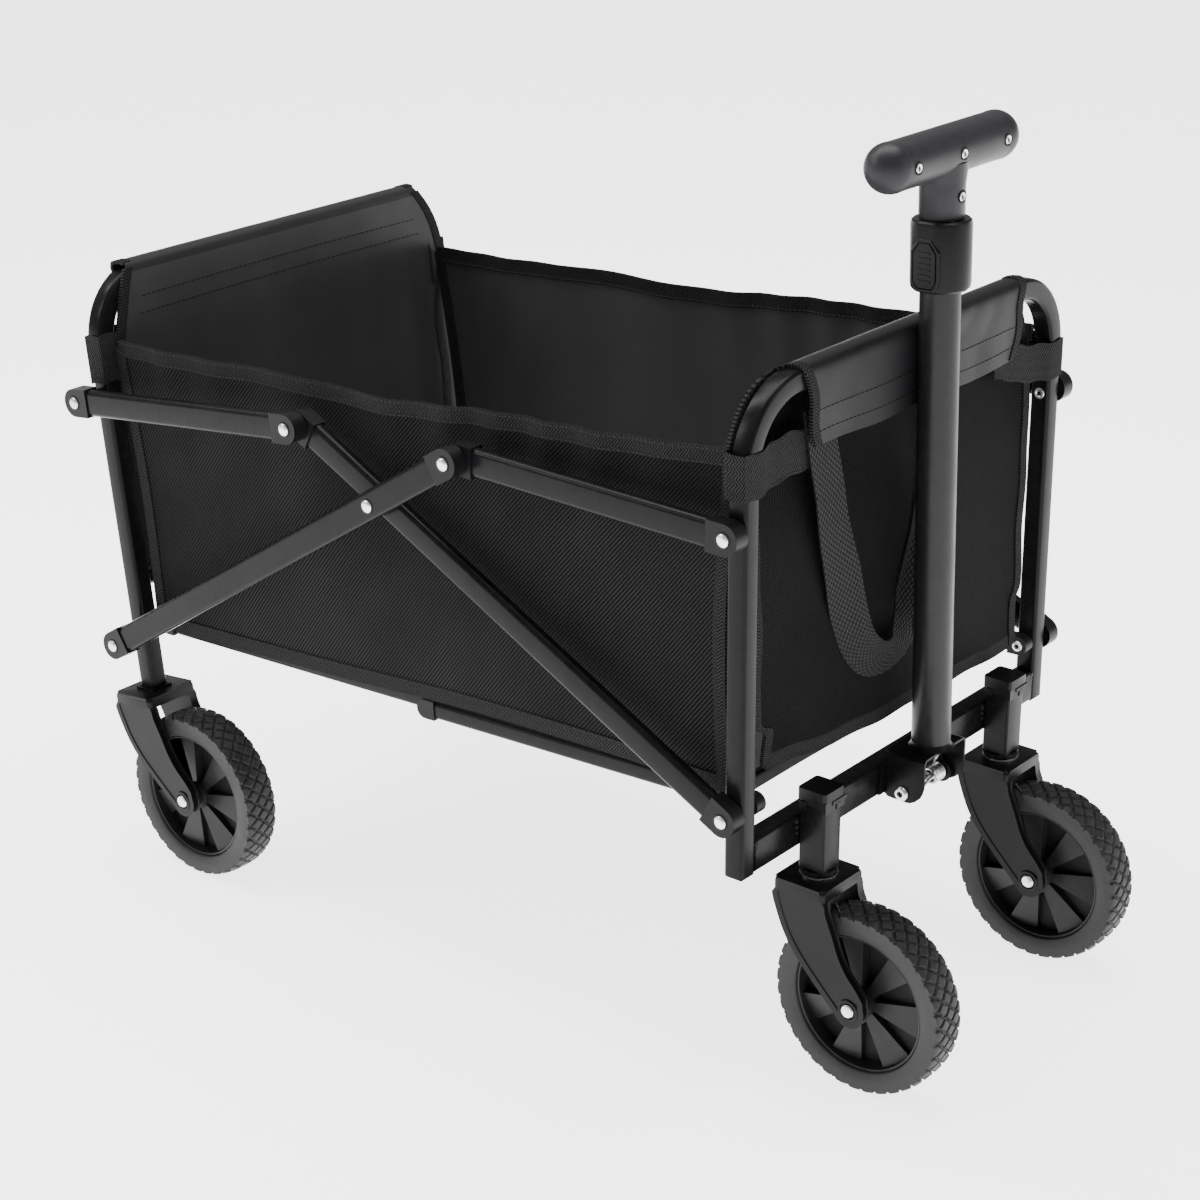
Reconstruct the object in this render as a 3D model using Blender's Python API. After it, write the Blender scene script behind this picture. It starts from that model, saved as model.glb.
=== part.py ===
"""Folding utility wagon with a pull handle. Metres, +Z up.

+X is the front (handle end), -Y the near side. The origin is on the ground, under the middle of
the wagon's overall length and width. Side-plane points are written (x, z).
"""

import math

import bmesh
import bpy
from mathutils import Matrix, Vector

# end frames: square tube bent to an inverted U
TUBE = 0.019
TUBE_CORNER = 0.0035
LEG_Y = 0.2281
REAR_PIVOT = Vector((-0.4132, 0.2331))
FRONT_PIVOT = Vector((0.3060, 0.2667))
REAR_LEAN = math.radians(6.44)
FRONT_LEAN = math.radians(0.34)
UPPER_PIVOT = 0.2416
HOOP_TOP = 0.349
BEND_R = 0.0625
BEND_STEPS = 6
FRONT_LEG_DROP = 0.0575
REAR_LEG_DROP = 0.0682
LEG_OUT = LEG_Y + TUBE / 2
LEG_IN = LEG_Y - TUBE / 2
GAP = 0.0003

# crossed side bars
HALF_BAR = 0.415
BAR_SHARE = 1.26
BAR_H = 0.025
BAR_T = 0.012
CAP_R = 0.0135
CAP_T = 0.015
CAP_SLEEVE = 0.017
INNER_LAYER = LEG_OUT + 0.0025 + CAP_T / 2
OUTER_LAYER = INNER_LAYER + CAP_T + 0.0006
PIN_R = 0.0040
PIN_HOLE_R = 0.0043
RIVET_R = 0.0056
RIVET_T = 0.0022
BUSH_R = 0.0068

# floor links and floor boards
LINK_H = 0.016
LINK_T = 0.0095
LINK_CAP_R = 0.009
LINK_CAP_T = 0.012
FRONT_LINK_Y = LEG_IN - 0.0021 - LINK_CAP_T / 2
REAR_LINK_Y = FRONT_LINK_Y - LINK_CAP_T - 0.001
BOARD_START = 0.036
BOARD_END = 0.300
BOARD_T = 0.005
BOARD_HALF_W = REAR_LINK_Y - LINK_CAP_T / 2 - 0.003

# cross tubes
CROSS_H = 0.0298
REAR_CROSS_R = 0.0078
REAR_CROSS_S = 0.052
REAR_CROSS_X = -0.0062

# wheels and forks
WHEEL_R = 0.083
WHEEL_W = 0.036
SHOULDER = 0.0035
TREAD_HALF = 0.0130
RIM_R = 0.0625
RIM_HALF = 0.0145
RIM_T = 0.0035
HUB_R = 0.0130
HUB_HALF = 0.0190
SPOKES = 7
WEB_T = 0.0012
BLADE_T = 0.0075
BLADE_WIDE = 13.0
BLADE_NARROW = 17.0
AXLE_R = 0.0040
AXLE_HEAD_R = 0.0060
AXLE_HEAD_T = 0.0021
FORK_H = 0.101
TRAIL = 0.053
ARM_IN = 0.0205
ARM_OUT = 0.0295
ARM_TIP_R = 0.0138
CROWN_T = 0.014
CROWN_BACK = -0.0258
CROWN_FRONT = 0.0255
STEM_DEPTH = 0.0107
CASTER_X = 0.3285
CASTER_Y = 0.1455
SOCKET = 0.0254
SOCKET_TOP = 0.2575
SOCKET_LOW = 0.1962
STEM_R = 0.0055
STEM_BORE_R = 0.0066

# pull handle, in its own frame: u forward, v along the pole, from the handle pivot
HANDLE_PIVOT = Vector((0.3364, 0.2162))
HANDLE_LEAN = math.radians(1.65)
POLE_U = 0.0076
POLE_R = 0.0167
POLE_BORE_R = 0.0149
POLE_LOW = 0.0363
POLE_HIGH = 0.4560
INNER_R = 0.0144
INNER_LOW = 0.0700
INNER_HIGH = 0.5300
COLLAR_R = 0.0252
COLLAR_LOW = 0.4412
COLLAR_HIGH = 0.4994
STEM_V = 0.4999
GRIP_V = 0.5529
GRIP_R = 0.0205
GRIP_STEM_R = 0.0189
GRIP_HALF = 0.0767
BUTTON_V = 0.4645
BUTTON_HALF_W = 0.0105
BUTTON_HALF_H = 0.0185
FOOT_OUT = 0.0330
FOOT_IN = 0.0310
FOOT_BACK = -0.0178
FOOT_FRONT = 0.0225
BRACKET_OUT = 0.0285
BRACKET_IN = 0.0265
BRACKET_T = 0.0020
BRACKET_HALF_W = 0.0400
EAR_R = 0.0105
BOLT_HEAD_R = 0.0065
BOLT_HEAD_T = 0.004
SPRING_R = 0.0083
SPRING_GAP = 0.0090

# fabric
CLOTH = 0.0016
PANEL_HALF_W = 0.2150
PANEL_FOOT = 0.008
PANEL_CLEAR = 0.056
PANEL_TOP = HOOP_TOP - BEND_R - 0.004
SLEEVE_HALF_W = 0.1620
SLEEVE_LOW = HOOP_TOP - 0.022
FLAP_DROP = 0.056
SIDE_Y = 0.2220
SIDE_T = 0.0030
SIDE_TOP_REAR = 0.291
SIDE_TOP_FRONT = 0.302
SIDE_SAG = 0.006
TAB_T = 0.0013
STRAP_W = 0.034
STRAP_LEFT = -0.1050
STRAP_RIGHT = 0.0150
STRAP_TOP = 0.5900
STRAP_BEND = 0.3940


def clear_scene():
    for obj in list(bpy.data.objects):
        bpy.data.objects.remove(obj, do_unlink=True)


def principled(name, color, roughness, metallic=0.0):
    mat = bpy.data.materials.new(name)
    mat.use_nodes = True
    shader = mat.node_tree.nodes["Principled BSDF"]
    shader.inputs["Base Color"].default_value = (*color, 1.0)
    shader.inputs["Roughness"].default_value = roughness
    shader.inputs["Metallic"].default_value = metallic
    return mat


def paint():
    """The colours and finishes, by kind of piece."""
    return {
        "frame": ((0.028, 0.028, 0.030), 0.42, 0.0),
        "plastic": ((0.022, 0.022, 0.024), 0.48, 0.0),
        "tyre": ((0.016, 0.016, 0.017), 0.75, 0.0),
        "hub": ((0.018, 0.018, 0.019), 0.50, 0.0),
        "steel": ((0.62, 0.62, 0.64), 0.25, 1.0),
        "tube": ((0.55, 0.55, 0.57), 0.28, 1.0),
        "cloth": ((0.012, 0.012, 0.013), 0.85, 0.0),
        "webbing": ((0.014, 0.014, 0.015), 0.90, 0.0),
    }


LOOKS = paint()


def make_object(name, bm, kind, origin=(0, 0, 0), turn=0.0, parent=None):
    """A named object from a bmesh in its own frame, placed at origin and turned about Y."""
    bmesh.ops.recalc_face_normals(bm, faces=bm.faces)
    mesh = bpy.data.meshes.new(name)
    bm.to_mesh(mesh)
    bm.free()
    mesh.shade_smooth()
    mesh.set_sharp_from_angle(angle=math.radians(35))
    obj = bpy.data.objects.new(name, mesh)
    bpy.context.scene.collection.objects.link(obj)
    obj.location = origin
    obj.rotation_euler = (0.0, turn, 0.0)
    color, roughness, metallic = LOOKS[kind]
    mesh.materials.append(principled(name + "_finish", color, roughness, metallic))
    if parent:
        obj.parent = parent
        obj.matrix_parent_inverse = parent.matrix_world.inverted()
    return obj


def joint_empty(name, x, y, z):
    empty = bpy.data.objects.new(name, None)
    empty.empty_display_size = 0.02
    empty.location = (x, y, z)
    bpy.context.scene.collection.objects.link(empty)
    bpy.context.view_layer.update()
    return empty


def helper(bm, origin=(0, 0, 0), turn=0.0):
    """A hidden operand for a Boolean."""
    obj = make_object("operand", bm, "steel", origin, turn)
    obj.hide_render = True
    obj.display_type = "WIRE"
    return obj


def boolean(obj, operand, operation):
    mod = obj.modifiers.new(operation.lower(), "BOOLEAN")
    mod.operation = operation
    mod.solver = "EXACT"
    mod.object = operand


def join(obj, *operands):
    for operand in operands:
        boolean(obj, operand, "UNION")


def cut(obj, *operands):
    for operand in operands:
        boolean(obj, operand, "DIFFERENCE")


def box(x0, x1, y0, y1, z0, z1):
    bm = bmesh.new()
    bmesh.ops.create_cube(bm, size=1.0)
    for v in bm.verts:
        v.co = Vector(
            (
                x0 + (v.co.x + 0.5) * (x1 - x0),
                y0 + (v.co.y + 0.5) * (y1 - y0),
                z0 + (v.co.z + 0.5) * (z1 - z0),
            )
        )
    return bm


def prism(points, y0, y1):
    """A polygon of (x, z) points, extruded from y0 to y1."""
    bm = bmesh.new()
    low = [bm.verts.new((x, y0, z)) for x, z in points]
    high = [bm.verts.new((x, y1, z)) for x, z in points]
    bm.faces.new(low)
    bm.faces.new(list(reversed(high)))
    count = len(points)
    for i in range(count):
        j = (i + 1) % count
        bm.faces.new((low[j], low[i], high[i], high[j]))
    return bm


def plate(points, x0, x1):
    """A polygon of (y, z) points, extruded from x0 to x1."""
    bm = prism([(y, z) for y, z in points], x0, x1)
    for v in bm.verts:
        v.co = Vector((v.co.y, v.co.x, v.co.z))
    return bm


def lathe(profile, steps, closed, axis="Y"):
    """Turns (radius, height) points about an axis. A point at radius 0 is a pole."""
    bm = bmesh.new()
    rings = []
    for r, h in profile:
        if r == 0:
            rings.append([bm.verts.new((0, h, 0))])
            continue
        ring = []
        for i in range(steps):
            a = 2 * math.pi * i / steps
            ring.append(bm.verts.new((r * math.cos(a), h, r * math.sin(a))))
        rings.append(ring)
    pairs = list(zip(rings, rings[1:]))
    if closed:
        pairs.append((rings[-1], rings[0]))
    for a, b in pairs:
        for i in range(steps):
            j = (i + 1) % steps
            corners = [a[i % len(a)], a[j % len(a)], b[j % len(b)], b[i % len(b)]]
            kept = [v for k, v in enumerate(corners) if v not in corners[:k]]
            bm.faces.new(kept)
    if axis == "Z":
        bmesh.ops.rotate(bm, verts=bm.verts, matrix=Matrix.Rotation(math.pi / 2, 3, "X"))
    return bm


def rod(radius, low, high, steps=12, axis="Y"):
    return lathe([(0, low), (radius, low), (radius, high), (0, high)], steps, False, axis)


def pipe(outer, inner, low, high, steps=24, axis="Z"):
    profile = [(outer, low), (outer, high), (inner, high), (inner, low)]
    return lathe(profile, steps, True, axis)


def arc(cx, cz, radius, start, end, steps):
    """(x, z) points from start to end degrees, counted from +X towards +Z."""
    points = []
    for i in range(steps + 1):
        a = math.radians(start + (end - start) * i / steps)
        points.append((cx + radius * math.cos(a), cz + radius * math.sin(a)))
    return points


def rounded_rect(half_w, half_h, corner, steps=3):
    points = []
    for cx, cz, start in ((1, 1, 0), (-1, 1, 90), (-1, -1, 180), (1, -1, 270)):
        points += arc(
            cx * (half_w - corner), cz * (half_h - corner), corner, start, start + 90, steps
        )
    return points


def sweep(path, section):
    """Carries a section along a path in the YZ plane. Section points are (x, in-plane normal)."""
    bm = bmesh.new()
    rings = []
    for i, (y, z) in enumerate(path):
        before = Vector(path[max(i - 1, 0)])
        after = Vector(path[min(i + 1, len(path) - 1)])
        along = (after - before).normalized()
        normal = Vector((-along.y, along.x))
        rings.append(
            [bm.verts.new((x, y + n * normal.x, z + n * normal.y)) for x, n in section]
        )
    count = len(section)
    for a, b in zip(rings, rings[1:]):
        for i in range(count):
            j = (i + 1) % count
            bm.faces.new((a[i], a[j], b[j], b[i]))
    bm.faces.new(rings[0])
    bm.faces.new(list(reversed(rings[-1])))
    return bm


def hoop_path(drop):
    """Leg bottom, up, round both bends and down, as (y, height above the lower pivot)."""
    side = HOOP_TOP - BEND_R
    path = [(-LEG_Y, -drop), (-LEG_Y, side)]
    path += arc(-LEG_Y + BEND_R, side, BEND_R, 180, 90, BEND_STEPS)[1:]
    path += [(-y, z) for y, z in reversed(path)]
    return path


def pivot_pin(outer, bush):
    """A rivet through a leg, for the outer bar and, where it goes inward, the floor link."""
    inner_tail, inner_bush, head = outer
    profile = [(0, inner_tail), (RIVET_R, inner_tail), (RIVET_R, inner_tail + RIVET_T)]
    profile += [(PIN_R, inner_tail + RIVET_T)]
    if inner_bush:
        profile += [(PIN_R, inner_bush), (BUSH_R, inner_bush), (BUSH_R, LEG_Y)]
        profile += [(PIN_R, LEG_Y)]
    if bush:
        profile += [(PIN_R, LEG_Y + 0.001), (BUSH_R, LEG_Y + 0.001), (BUSH_R, bush)]
        profile += [(PIN_R, bush)]
    profile += [(PIN_R, head), (RIVET_R, head), (RIVET_R, head + RIVET_T), (0, head + RIVET_T)]
    return profile


def pins(profile, height):
    """The same rivet on both legs, as two Boolean operands in the frame's own plane."""
    found = []
    for side in (-1, 1):
        bm = lathe([(r, side * y) for r, y in profile], 12, False)
        bmesh.ops.translate(bm, verts=bm.verts, vec=(0, 0, height))
        found.append(bm)
    return found


def end_frame(name, pivot, lean, drop, lower, upper, parent=None):
    """One bent hoop with its rivets, leaning back by lean about its lower pivot."""
    section = rounded_rect(TUBE / 2, TUBE / 2, TUBE_CORNER, 2)
    origin = (pivot.x, 0, pivot.y)
    hoop = make_object(name, sweep(hoop_path(drop), section), "frame", origin, -lean, parent)
    for bm in pins(lower, 0.0) + pins(upper, UPPER_PIVOT):
        join(hoop, helper(bm, origin, -lean))
    return hoop


def make_end_frames(front_joint):
    inner_head = INNER_LAYER + CAP_T / 2 + GAP
    outer_head = OUTER_LAYER + CAP_T / 2 + GAP
    outer_bush = OUTER_LAYER - CAP_T / 2 - GAP
    front_tail = FRONT_LINK_Y - LINK_CAP_T / 2 - GAP - RIVET_T
    rear_tail = REAR_LINK_Y - LINK_CAP_T / 2 - GAP - RIVET_T
    rear_inner_bush = REAR_LINK_Y + LINK_CAP_T / 2 + GAP
    flush_tail = LEG_IN - 0.0012
    end_frame(
        "rear_hoop",
        REAR_PIVOT,
        REAR_LEAN,
        REAR_LEG_DROP,
        pivot_pin((rear_tail, rear_inner_bush, outer_head), outer_bush),
        pivot_pin((flush_tail, None, outer_head), outer_bush),
    )
    end_frame(
        "front_hoop",
        FRONT_PIVOT,
        FRONT_LEAN,
        FRONT_LEG_DROP,
        pivot_pin((front_tail, None, inner_head), None),
        pivot_pin((flush_tail, None, inner_head), None),
        front_joint,
    )


def make_cross_tubes(front_joint):
    low = FRONT_PIVOT.y - FRONT_LEG_DROP
    half = LEG_IN - GAP
    section = rounded_rect(TUBE / 2, CROSS_H / 2, 0.0025, 2)
    bm = prism(section, -half, half)
    center = (FRONT_PIVOT.x, 0, low + CROSS_H / 2)
    make_object("front_cross_tube", bm, "frame", center, 0.0, front_joint)
    bm = rod(REAR_CROSS_R, -half, half, 16)
    bmesh.ops.translate(bm, verts=bm.verts, vec=(REAR_CROSS_X, 0, REAR_CROSS_S))
    make_object(
        "rear_cross_tube", bm, "frame", (REAR_PIVOT.x, 0, REAR_PIVOT.y), -REAR_LEAN
    )


def arm_outline():
    """The fork arm from the side: u forward of the stem, height below the crown's top."""
    back = [(-0.0250, 0.0), (-0.0252, 0.012), (-0.0222, 0.024), (-0.0125, 0.047)]
    back += [(0.0005, 0.066), (0.0185, 0.085), (0.0415, 0.1075)]
    front = [(0.0652, 0.0900), (0.0590, 0.0815), (0.0482, 0.0695), (0.0400, 0.0561)]
    front += [(0.0336, 0.0400), (0.0285, 0.0279), (0.0250, 0.0169), (0.0250, 0.0)]
    tip = arc(TRAIL, FORK_H, ARM_TIP_R, 120, -20, 6)
    return [(u, -v) for u, v in back + tip + front]


def make_fork(name, origin, turn, pocket, parent=None):
    """A moulded fork. Its own origin is on the crown's top, on the leg or stem axis."""
    crown = box(CROWN_BACK, CROWN_FRONT, -ARM_IN - 0.002, ARM_IN + 0.002, -CROWN_T, 0)
    fork = make_object(name, crown, "plastic", origin, turn, parent)
    for side in (-1, 1):
        low, high = sorted((side * ARM_IN, side * ARM_OUT))
        arm = helper(prism(arm_outline(), low, high), origin, turn)
        edge = arm.modifiers.new("soft_edge", "BEVEL")
        edge.width = 0.0014
        edge.segments = 1
        edge.limit_method = "ANGLE"
        edge.angle_limit = math.radians(50)
        join(fork, arm)
    bore = rod(AXLE_R + GAP, -ARM_OUT - 0.01, ARM_OUT + 0.01)
    bmesh.ops.translate(bore, verts=bore.verts, vec=(TRAIL, 0, -FORK_H))
    cut(fork, helper(bore, origin, turn), helper(pocket, origin, turn))
    return fork


def make_wheel(tag, center, wheel_joint, axle_parent):
    half = WHEEL_W / 2
    tyre = [(WHEEL_R - SHOULDER, -half), (WHEEL_R, -TREAD_HALF), (WHEEL_R, TREAD_HALF)]
    tyre += [(WHEEL_R - SHOULDER, half), (RIM_R, half - 0.0015), (RIM_R, -half + 0.0015)]
    make_object("tyre_" + tag, lathe(tyre, 32, True), "tyre", center, 0.0, wheel_joint)
    rim = RIM_R - GAP
    bore, lip = AXLE_R + GAP, rim - RIM_T
    hub = [(bore, -HUB_HALF), (HUB_R, -HUB_HALF), (HUB_R, -WEB_T)]
    hub += [(lip, -WEB_T), (lip, -RIM_HALF), (rim, -RIM_HALF)]
    hub += [(rim, RIM_HALF), (lip, RIM_HALF), (lip, WEB_T)]
    hub += [(HUB_R, WEB_T), (HUB_R, HUB_HALF), (bore, HUB_HALF)]
    body = make_object("hub_" + tag, lathe(hub, 28, True), "hub", center, 0.0, wheel_joint)
    for i in range(SPOKES):
        middle = 360.0 * i / SPOKES
        blade = arc(0, 0, rim - 0.0020, middle - BLADE_WIDE, middle + BLADE_WIDE, 2)
        blade += arc(0, 0, HUB_R - 0.001, middle + BLADE_NARROW, middle - BLADE_NARROW, 1)
        join(body, helper(prism(blade, -BLADE_T, BLADE_T), center))
    head = ARM_OUT + GAP
    end = head + AXLE_HEAD_T
    profile = [(0, -end), (AXLE_HEAD_R, -end), (AXLE_HEAD_R, -head), (AXLE_R, -head)]
    profile += [(AXLE_R, head), (AXLE_HEAD_R, head), (AXLE_HEAD_R, end), (0, end)]
    make_object("axle_" + tag, lathe(profile, 12, False), "steel", center, 0.0, axle_parent)


def make_rear_wheels():
    """The rear forks are fixed on the legs, with the same rake as the leaning frame."""
    down = Vector((math.sin(REAR_LEAN), -math.cos(REAR_LEAN)))
    forward = Vector((math.cos(REAR_LEAN), math.sin(REAR_LEAN)))
    crown_drop = (REAR_PIVOT.y - WHEEL_R + TRAIL * forward.y) / math.cos(REAR_LEAN) - FORK_H
    top = REAR_PIVOT + down * crown_drop
    axle = top + down * FORK_H + forward * TRAIL
    half = TUBE / 2 + GAP
    for side, tag in ((-1, "rear_near"), (1, "rear_far")):
        y = side * LEG_Y
        pocket = box(-half, half, -half, half, crown_drop - REAR_LEG_DROP - GAP, 0.02)
        make_fork("fork_" + tag, (top.x, y, top.y), -REAR_LEAN, pocket)
        spin = joint_empty("spin_" + tag, axle.x, y, axle.y)
        make_wheel(tag, (axle.x, y, axle.y), spin, None)


def make_casters(front_joint):
    crown = WHEEL_R + FORK_H
    half = SOCKET / 2
    for side, tag in ((-1, "near"), (1, "far")):
        y = side * CASTER_Y
        center = (CASTER_X, y, 0)
        bm = prism(rounded_rect(half, half, 0.002, 2), SOCKET_LOW, SOCKET_TOP)
        bmesh.ops.rotate(bm, verts=bm.verts, matrix=Matrix.Rotation(-math.pi / 2, 3, "X"))
        for v in bm.verts:
            v.co.z = abs(v.co.z)
        socket = make_object("caster_socket_" + tag, bm, "frame", center, 0.0, front_joint)
        bush = rod(0.0150, crown + 0.0024, SOCKET_LOW + 0.001, 16, "Z")
        join(socket, helper(bush, center))
        cut(socket, helper(rod(STEM_BORE_R, 0.1, 0.3, 16, "Z"), center))
        lid = half + 0.0016
        cap = box(-lid, lid, -lid, lid, SOCKET_TOP - 0.0110, SOCKET_TOP + 0.0072)
        cap = make_object("socket_cap_" + tag, cap, "plastic", center, 0.0, front_joint)
        inside = half + GAP
        hollow = box(-inside, inside, -inside, inside, 0.2, SOCKET_TOP + GAP)
        cut(cap, helper(hollow, center))
        swivel = joint_empty("swivel_" + tag, CASTER_X, y, crown)
        pocket = rod(STEM_R + GAP, -STEM_DEPTH - GAP, 0.01, 16, "Z")
        top = (CASTER_X, y, crown)
        make_fork("fork_front_" + tag, top, 0.0, pocket, swivel)
        stem = rod(STEM_R, crown - STEM_DEPTH, SOCKET_TOP - 0.004, 16, "Z")
        make_object("caster_stem_" + tag, stem, "steel", center, 0.0, swivel)
        washer = pipe(0.0165, STEM_R + GAP, crown + GAP, crown + 0.0019, 20)
        make_object("caster_washer_" + tag, washer, "steel", center, 0.0, swivel)
        spin = joint_empty("spin_front_" + tag, CASTER_X + TRAIL, y, WHEEL_R)
        make_wheel("front_" + tag, (CASTER_X + TRAIL, y, WHEEL_R), spin, swivel)


def make_bar(name, start, end, size, pinned, y, pivot, parent):
    """A flat-oval tube with a moulded cap on each end, from start to end in the side plane.

    size is (height, thickness, cap radius, cap thickness). pinned lists the hole distances.
    """
    height, thick, cap_r, cap_t = size
    run = (end - start).length
    along = (end - start).normalized()
    back = (start - pivot).dot(along)
    turn = -math.atan2(along.y, along.x)
    origin = (pivot.x, y, pivot.y)
    section = rounded_rect(thick / 2, height / 2, thick * 0.36, 2)
    bm = bmesh.new()
    near = [bm.verts.new((back + cap_r * 0.6, a, b)) for a, b in section]
    far = [bm.verts.new((back + run - cap_r * 0.6, a, b)) for a, b in section]
    bm.faces.new(near)
    bm.faces.new(list(reversed(far)))
    for i in range(len(section)):
        j = (i + 1) % len(section)
        bm.faces.new((near[j], near[i], far[i], far[j]))
    bar = make_object(name, bm, "frame", origin, turn, parent)
    for x, first in ((back, 90), (back + run, -90)):
        inward = 1 if first == 90 else -1
        cap = arc(x, 0, cap_r, first, first + 180, 6)
        reach = x + inward * cap_r * CAP_SLEEVE / CAP_R
        cap += [(reach, -inward * cap_r), (reach, inward * cap_r)]
        join(bar, helper(prism(cap, -cap_t / 2, cap_t / 2), origin, turn))
    for distance in pinned:
        hole = rod(PIN_HOLE_R, -cap_t, cap_t)
        bmesh.ops.translate(hole, verts=hole.verts, vec=(back + distance, 0, 0))
        cut(bar, helper(hole, origin, turn))
    return bar


def upper_pivots():
    rear = REAR_PIVOT + Vector((-math.sin(REAR_LEAN), math.cos(REAR_LEAN))) * UPPER_PIVOT
    front = FRONT_PIVOT + Vector((-math.sin(FRONT_LEAN), math.cos(FRONT_LEAN))) * UPPER_PIVOT
    return rear, front


def crossing():
    """The middle pivot of the crossed bars: equal half bars on both lower pivots."""
    base = FRONT_PIVOT - REAR_PIVOT
    rise = math.sqrt(HALF_BAR**2 - (base.length / 2) ** 2)
    return (REAR_PIVOT + FRONT_PIVOT) / 2 + Vector((-base.y, base.x)).normalized() * rise


def make_side_bars(joints):
    mid = crossing()
    rear_up, front_up = upper_pivots()
    knee_rear = FRONT_PIVOT + (mid - FRONT_PIVOT) * BAR_SHARE
    knee_front = REAR_PIVOT + (mid - REAR_PIVOT) * BAR_SHARE
    size = (BAR_H, BAR_T, CAP_R, CAP_T)
    for side, tag in ((-1, "near"), (1, "far")):
        outer, inner = side * OUTER_LAYER, side * INNER_LAYER
        origin = REAR_PIVOT
        bar = make_bar(
            "rear_diagonal_" + tag, REAR_PIVOT, knee_front, size, (0.0,), outer, origin,
            joints["fold"],
        )
        reach = INNER_LAYER - BAR_T / 2 - GAP - RIVET_T
        profile = [(0, reach), (RIVET_R, reach), (RIVET_R, reach + RIVET_T)]
        profile += [(PIN_R, reach + RIVET_T), (PIN_R, OUTER_LAYER), (RIVET_R, OUTER_LAYER)]
        profile += [(RIVET_R, OUTER_LAYER + BAR_T / 2 + RIVET_T)]
        profile += [(0, OUTER_LAYER + BAR_T / 2 + RIVET_T)]
        pin = lathe([(r, side * y) for r, y in profile], 12, False)
        join(bar, helper(pin, (mid.x, 0, mid.y)))
        make_bar(
            "front_diagonal_" + tag, FRONT_PIVOT, knee_rear, size, (0.0, HALF_BAR), inner, mid,
            joints["cross"],
        )
        make_bar(
            "rear_upper_bar_" + tag, rear_up, knee_rear, size, (0.0,), outer, rear_up,
            joints["rear_upper"],
        )
        make_bar(
            "front_upper_bar_" + tag, front_up, knee_front, size, (0.0,), inner, front_up,
            joints["front_upper"],
        )


def make_floor(joints):
    size = (LINK_H, LINK_T, LINK_CAP_R, LINK_CAP_T)
    middle = (REAR_PIVOT + FRONT_PIVOT) / 2
    for side, tag in ((-1, "near"), (1, "far")):
        for end, pivot, y in (
            ("rear", REAR_PIVOT, REAR_LINK_Y),
            ("front", FRONT_PIVOT, FRONT_LINK_Y),
        ):
            joint = joints[end + "_floor"]
            name = end + "_floor_link_" + tag
            make_bar(name, pivot, middle, size, (0.0,), side * y, pivot, joint)
    slope = (FRONT_PIVOT - REAR_PIVOT).normalized()
    turn = -math.atan2(slope.y, slope.x)
    for end, pivot, sign in (("rear", REAR_PIVOT, 1), ("front", FRONT_PIVOT, -1)):
        low, high = sorted((sign * BOARD_START, sign * BOARD_END))
        bm = box(low, high, -BOARD_HALF_W, BOARD_HALF_W, -BOARD_T / 2, BOARD_T / 2)
        origin = (pivot.x, 0, pivot.y)
        make_object(end + "_floor_board", bm, "cloth", origin, turn, joints[end + "_floor"])
    top = -BOARD_T / 2 - 0.0010
    reach = (middle - REAR_PIVOT).length - 0.022
    bm = box(-reach, reach, -BOARD_HALF_W, BOARD_HALF_W, top - CLOTH, top)
    make_object("floor_cloth", bm, "cloth", (middle.x, 0, middle.y), turn)


def end_panel(name, pivot, lean, inward, offset, parent=None):
    """One sewn end: a panel between the legs that runs over the hoop and down as a flap."""
    narrow = REAR_LINK_Y - LINK_CAP_T / 2 - 0.004 if inward > 0 else LEG_IN - 0.0205
    outline = [(-narrow, PANEL_FOOT), (narrow, PANEL_FOOT), (narrow, PANEL_CLEAR)]
    outline += [(PANEL_HALF_W, PANEL_CLEAR), (PANEL_HALF_W, PANEL_TOP)]
    outline += [(-PANEL_HALF_W, PANEL_TOP), (-PANEL_HALF_W, PANEL_CLEAR), (-narrow, PANEL_CLEAR)]
    near, far = sorted((inward * offset, inward * (offset + CLOTH)))
    origin = (pivot.x, 0, pivot.y)
    panel = make_object(name, plate(outline, near, far), "cloth", origin, -lean, parent)
    round_in, round_out = TUBE / 2 + GAP, TUBE / 2 + GAP + CLOTH
    start = PANEL_TOP - 0.006
    edge, crest = HOOP_TOP + TUBE / 2, HOOP_TOP + round_in
    inside = [(offset, start), (round_in, SLEEVE_LOW), (round_in, edge - 0.0010)]
    inside += [(round_in - 0.0010, crest), (-round_in + 0.0010, crest)]
    inside += [(-round_in, edge - 0.0010), (-round_in, HOOP_TOP - FLAP_DROP)]
    outside = [(-round_out, HOOP_TOP - FLAP_DROP), (-round_out, edge - 0.0020)]
    outside += [(-round_out + 0.0035, crest + CLOTH), (round_out - 0.0035, crest + CLOTH)]
    outside += [(round_out, edge - 0.0020), (round_out, SLEEVE_LOW)]
    outside += [(offset + CLOTH, start)]
    sleeve = [(inward * x, z) for x, z in inside + outside]
    half = SLEEVE_HALF_W
    join(panel, helper(prism(sleeve, -half, half), origin, -lean))
    return panel


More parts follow.
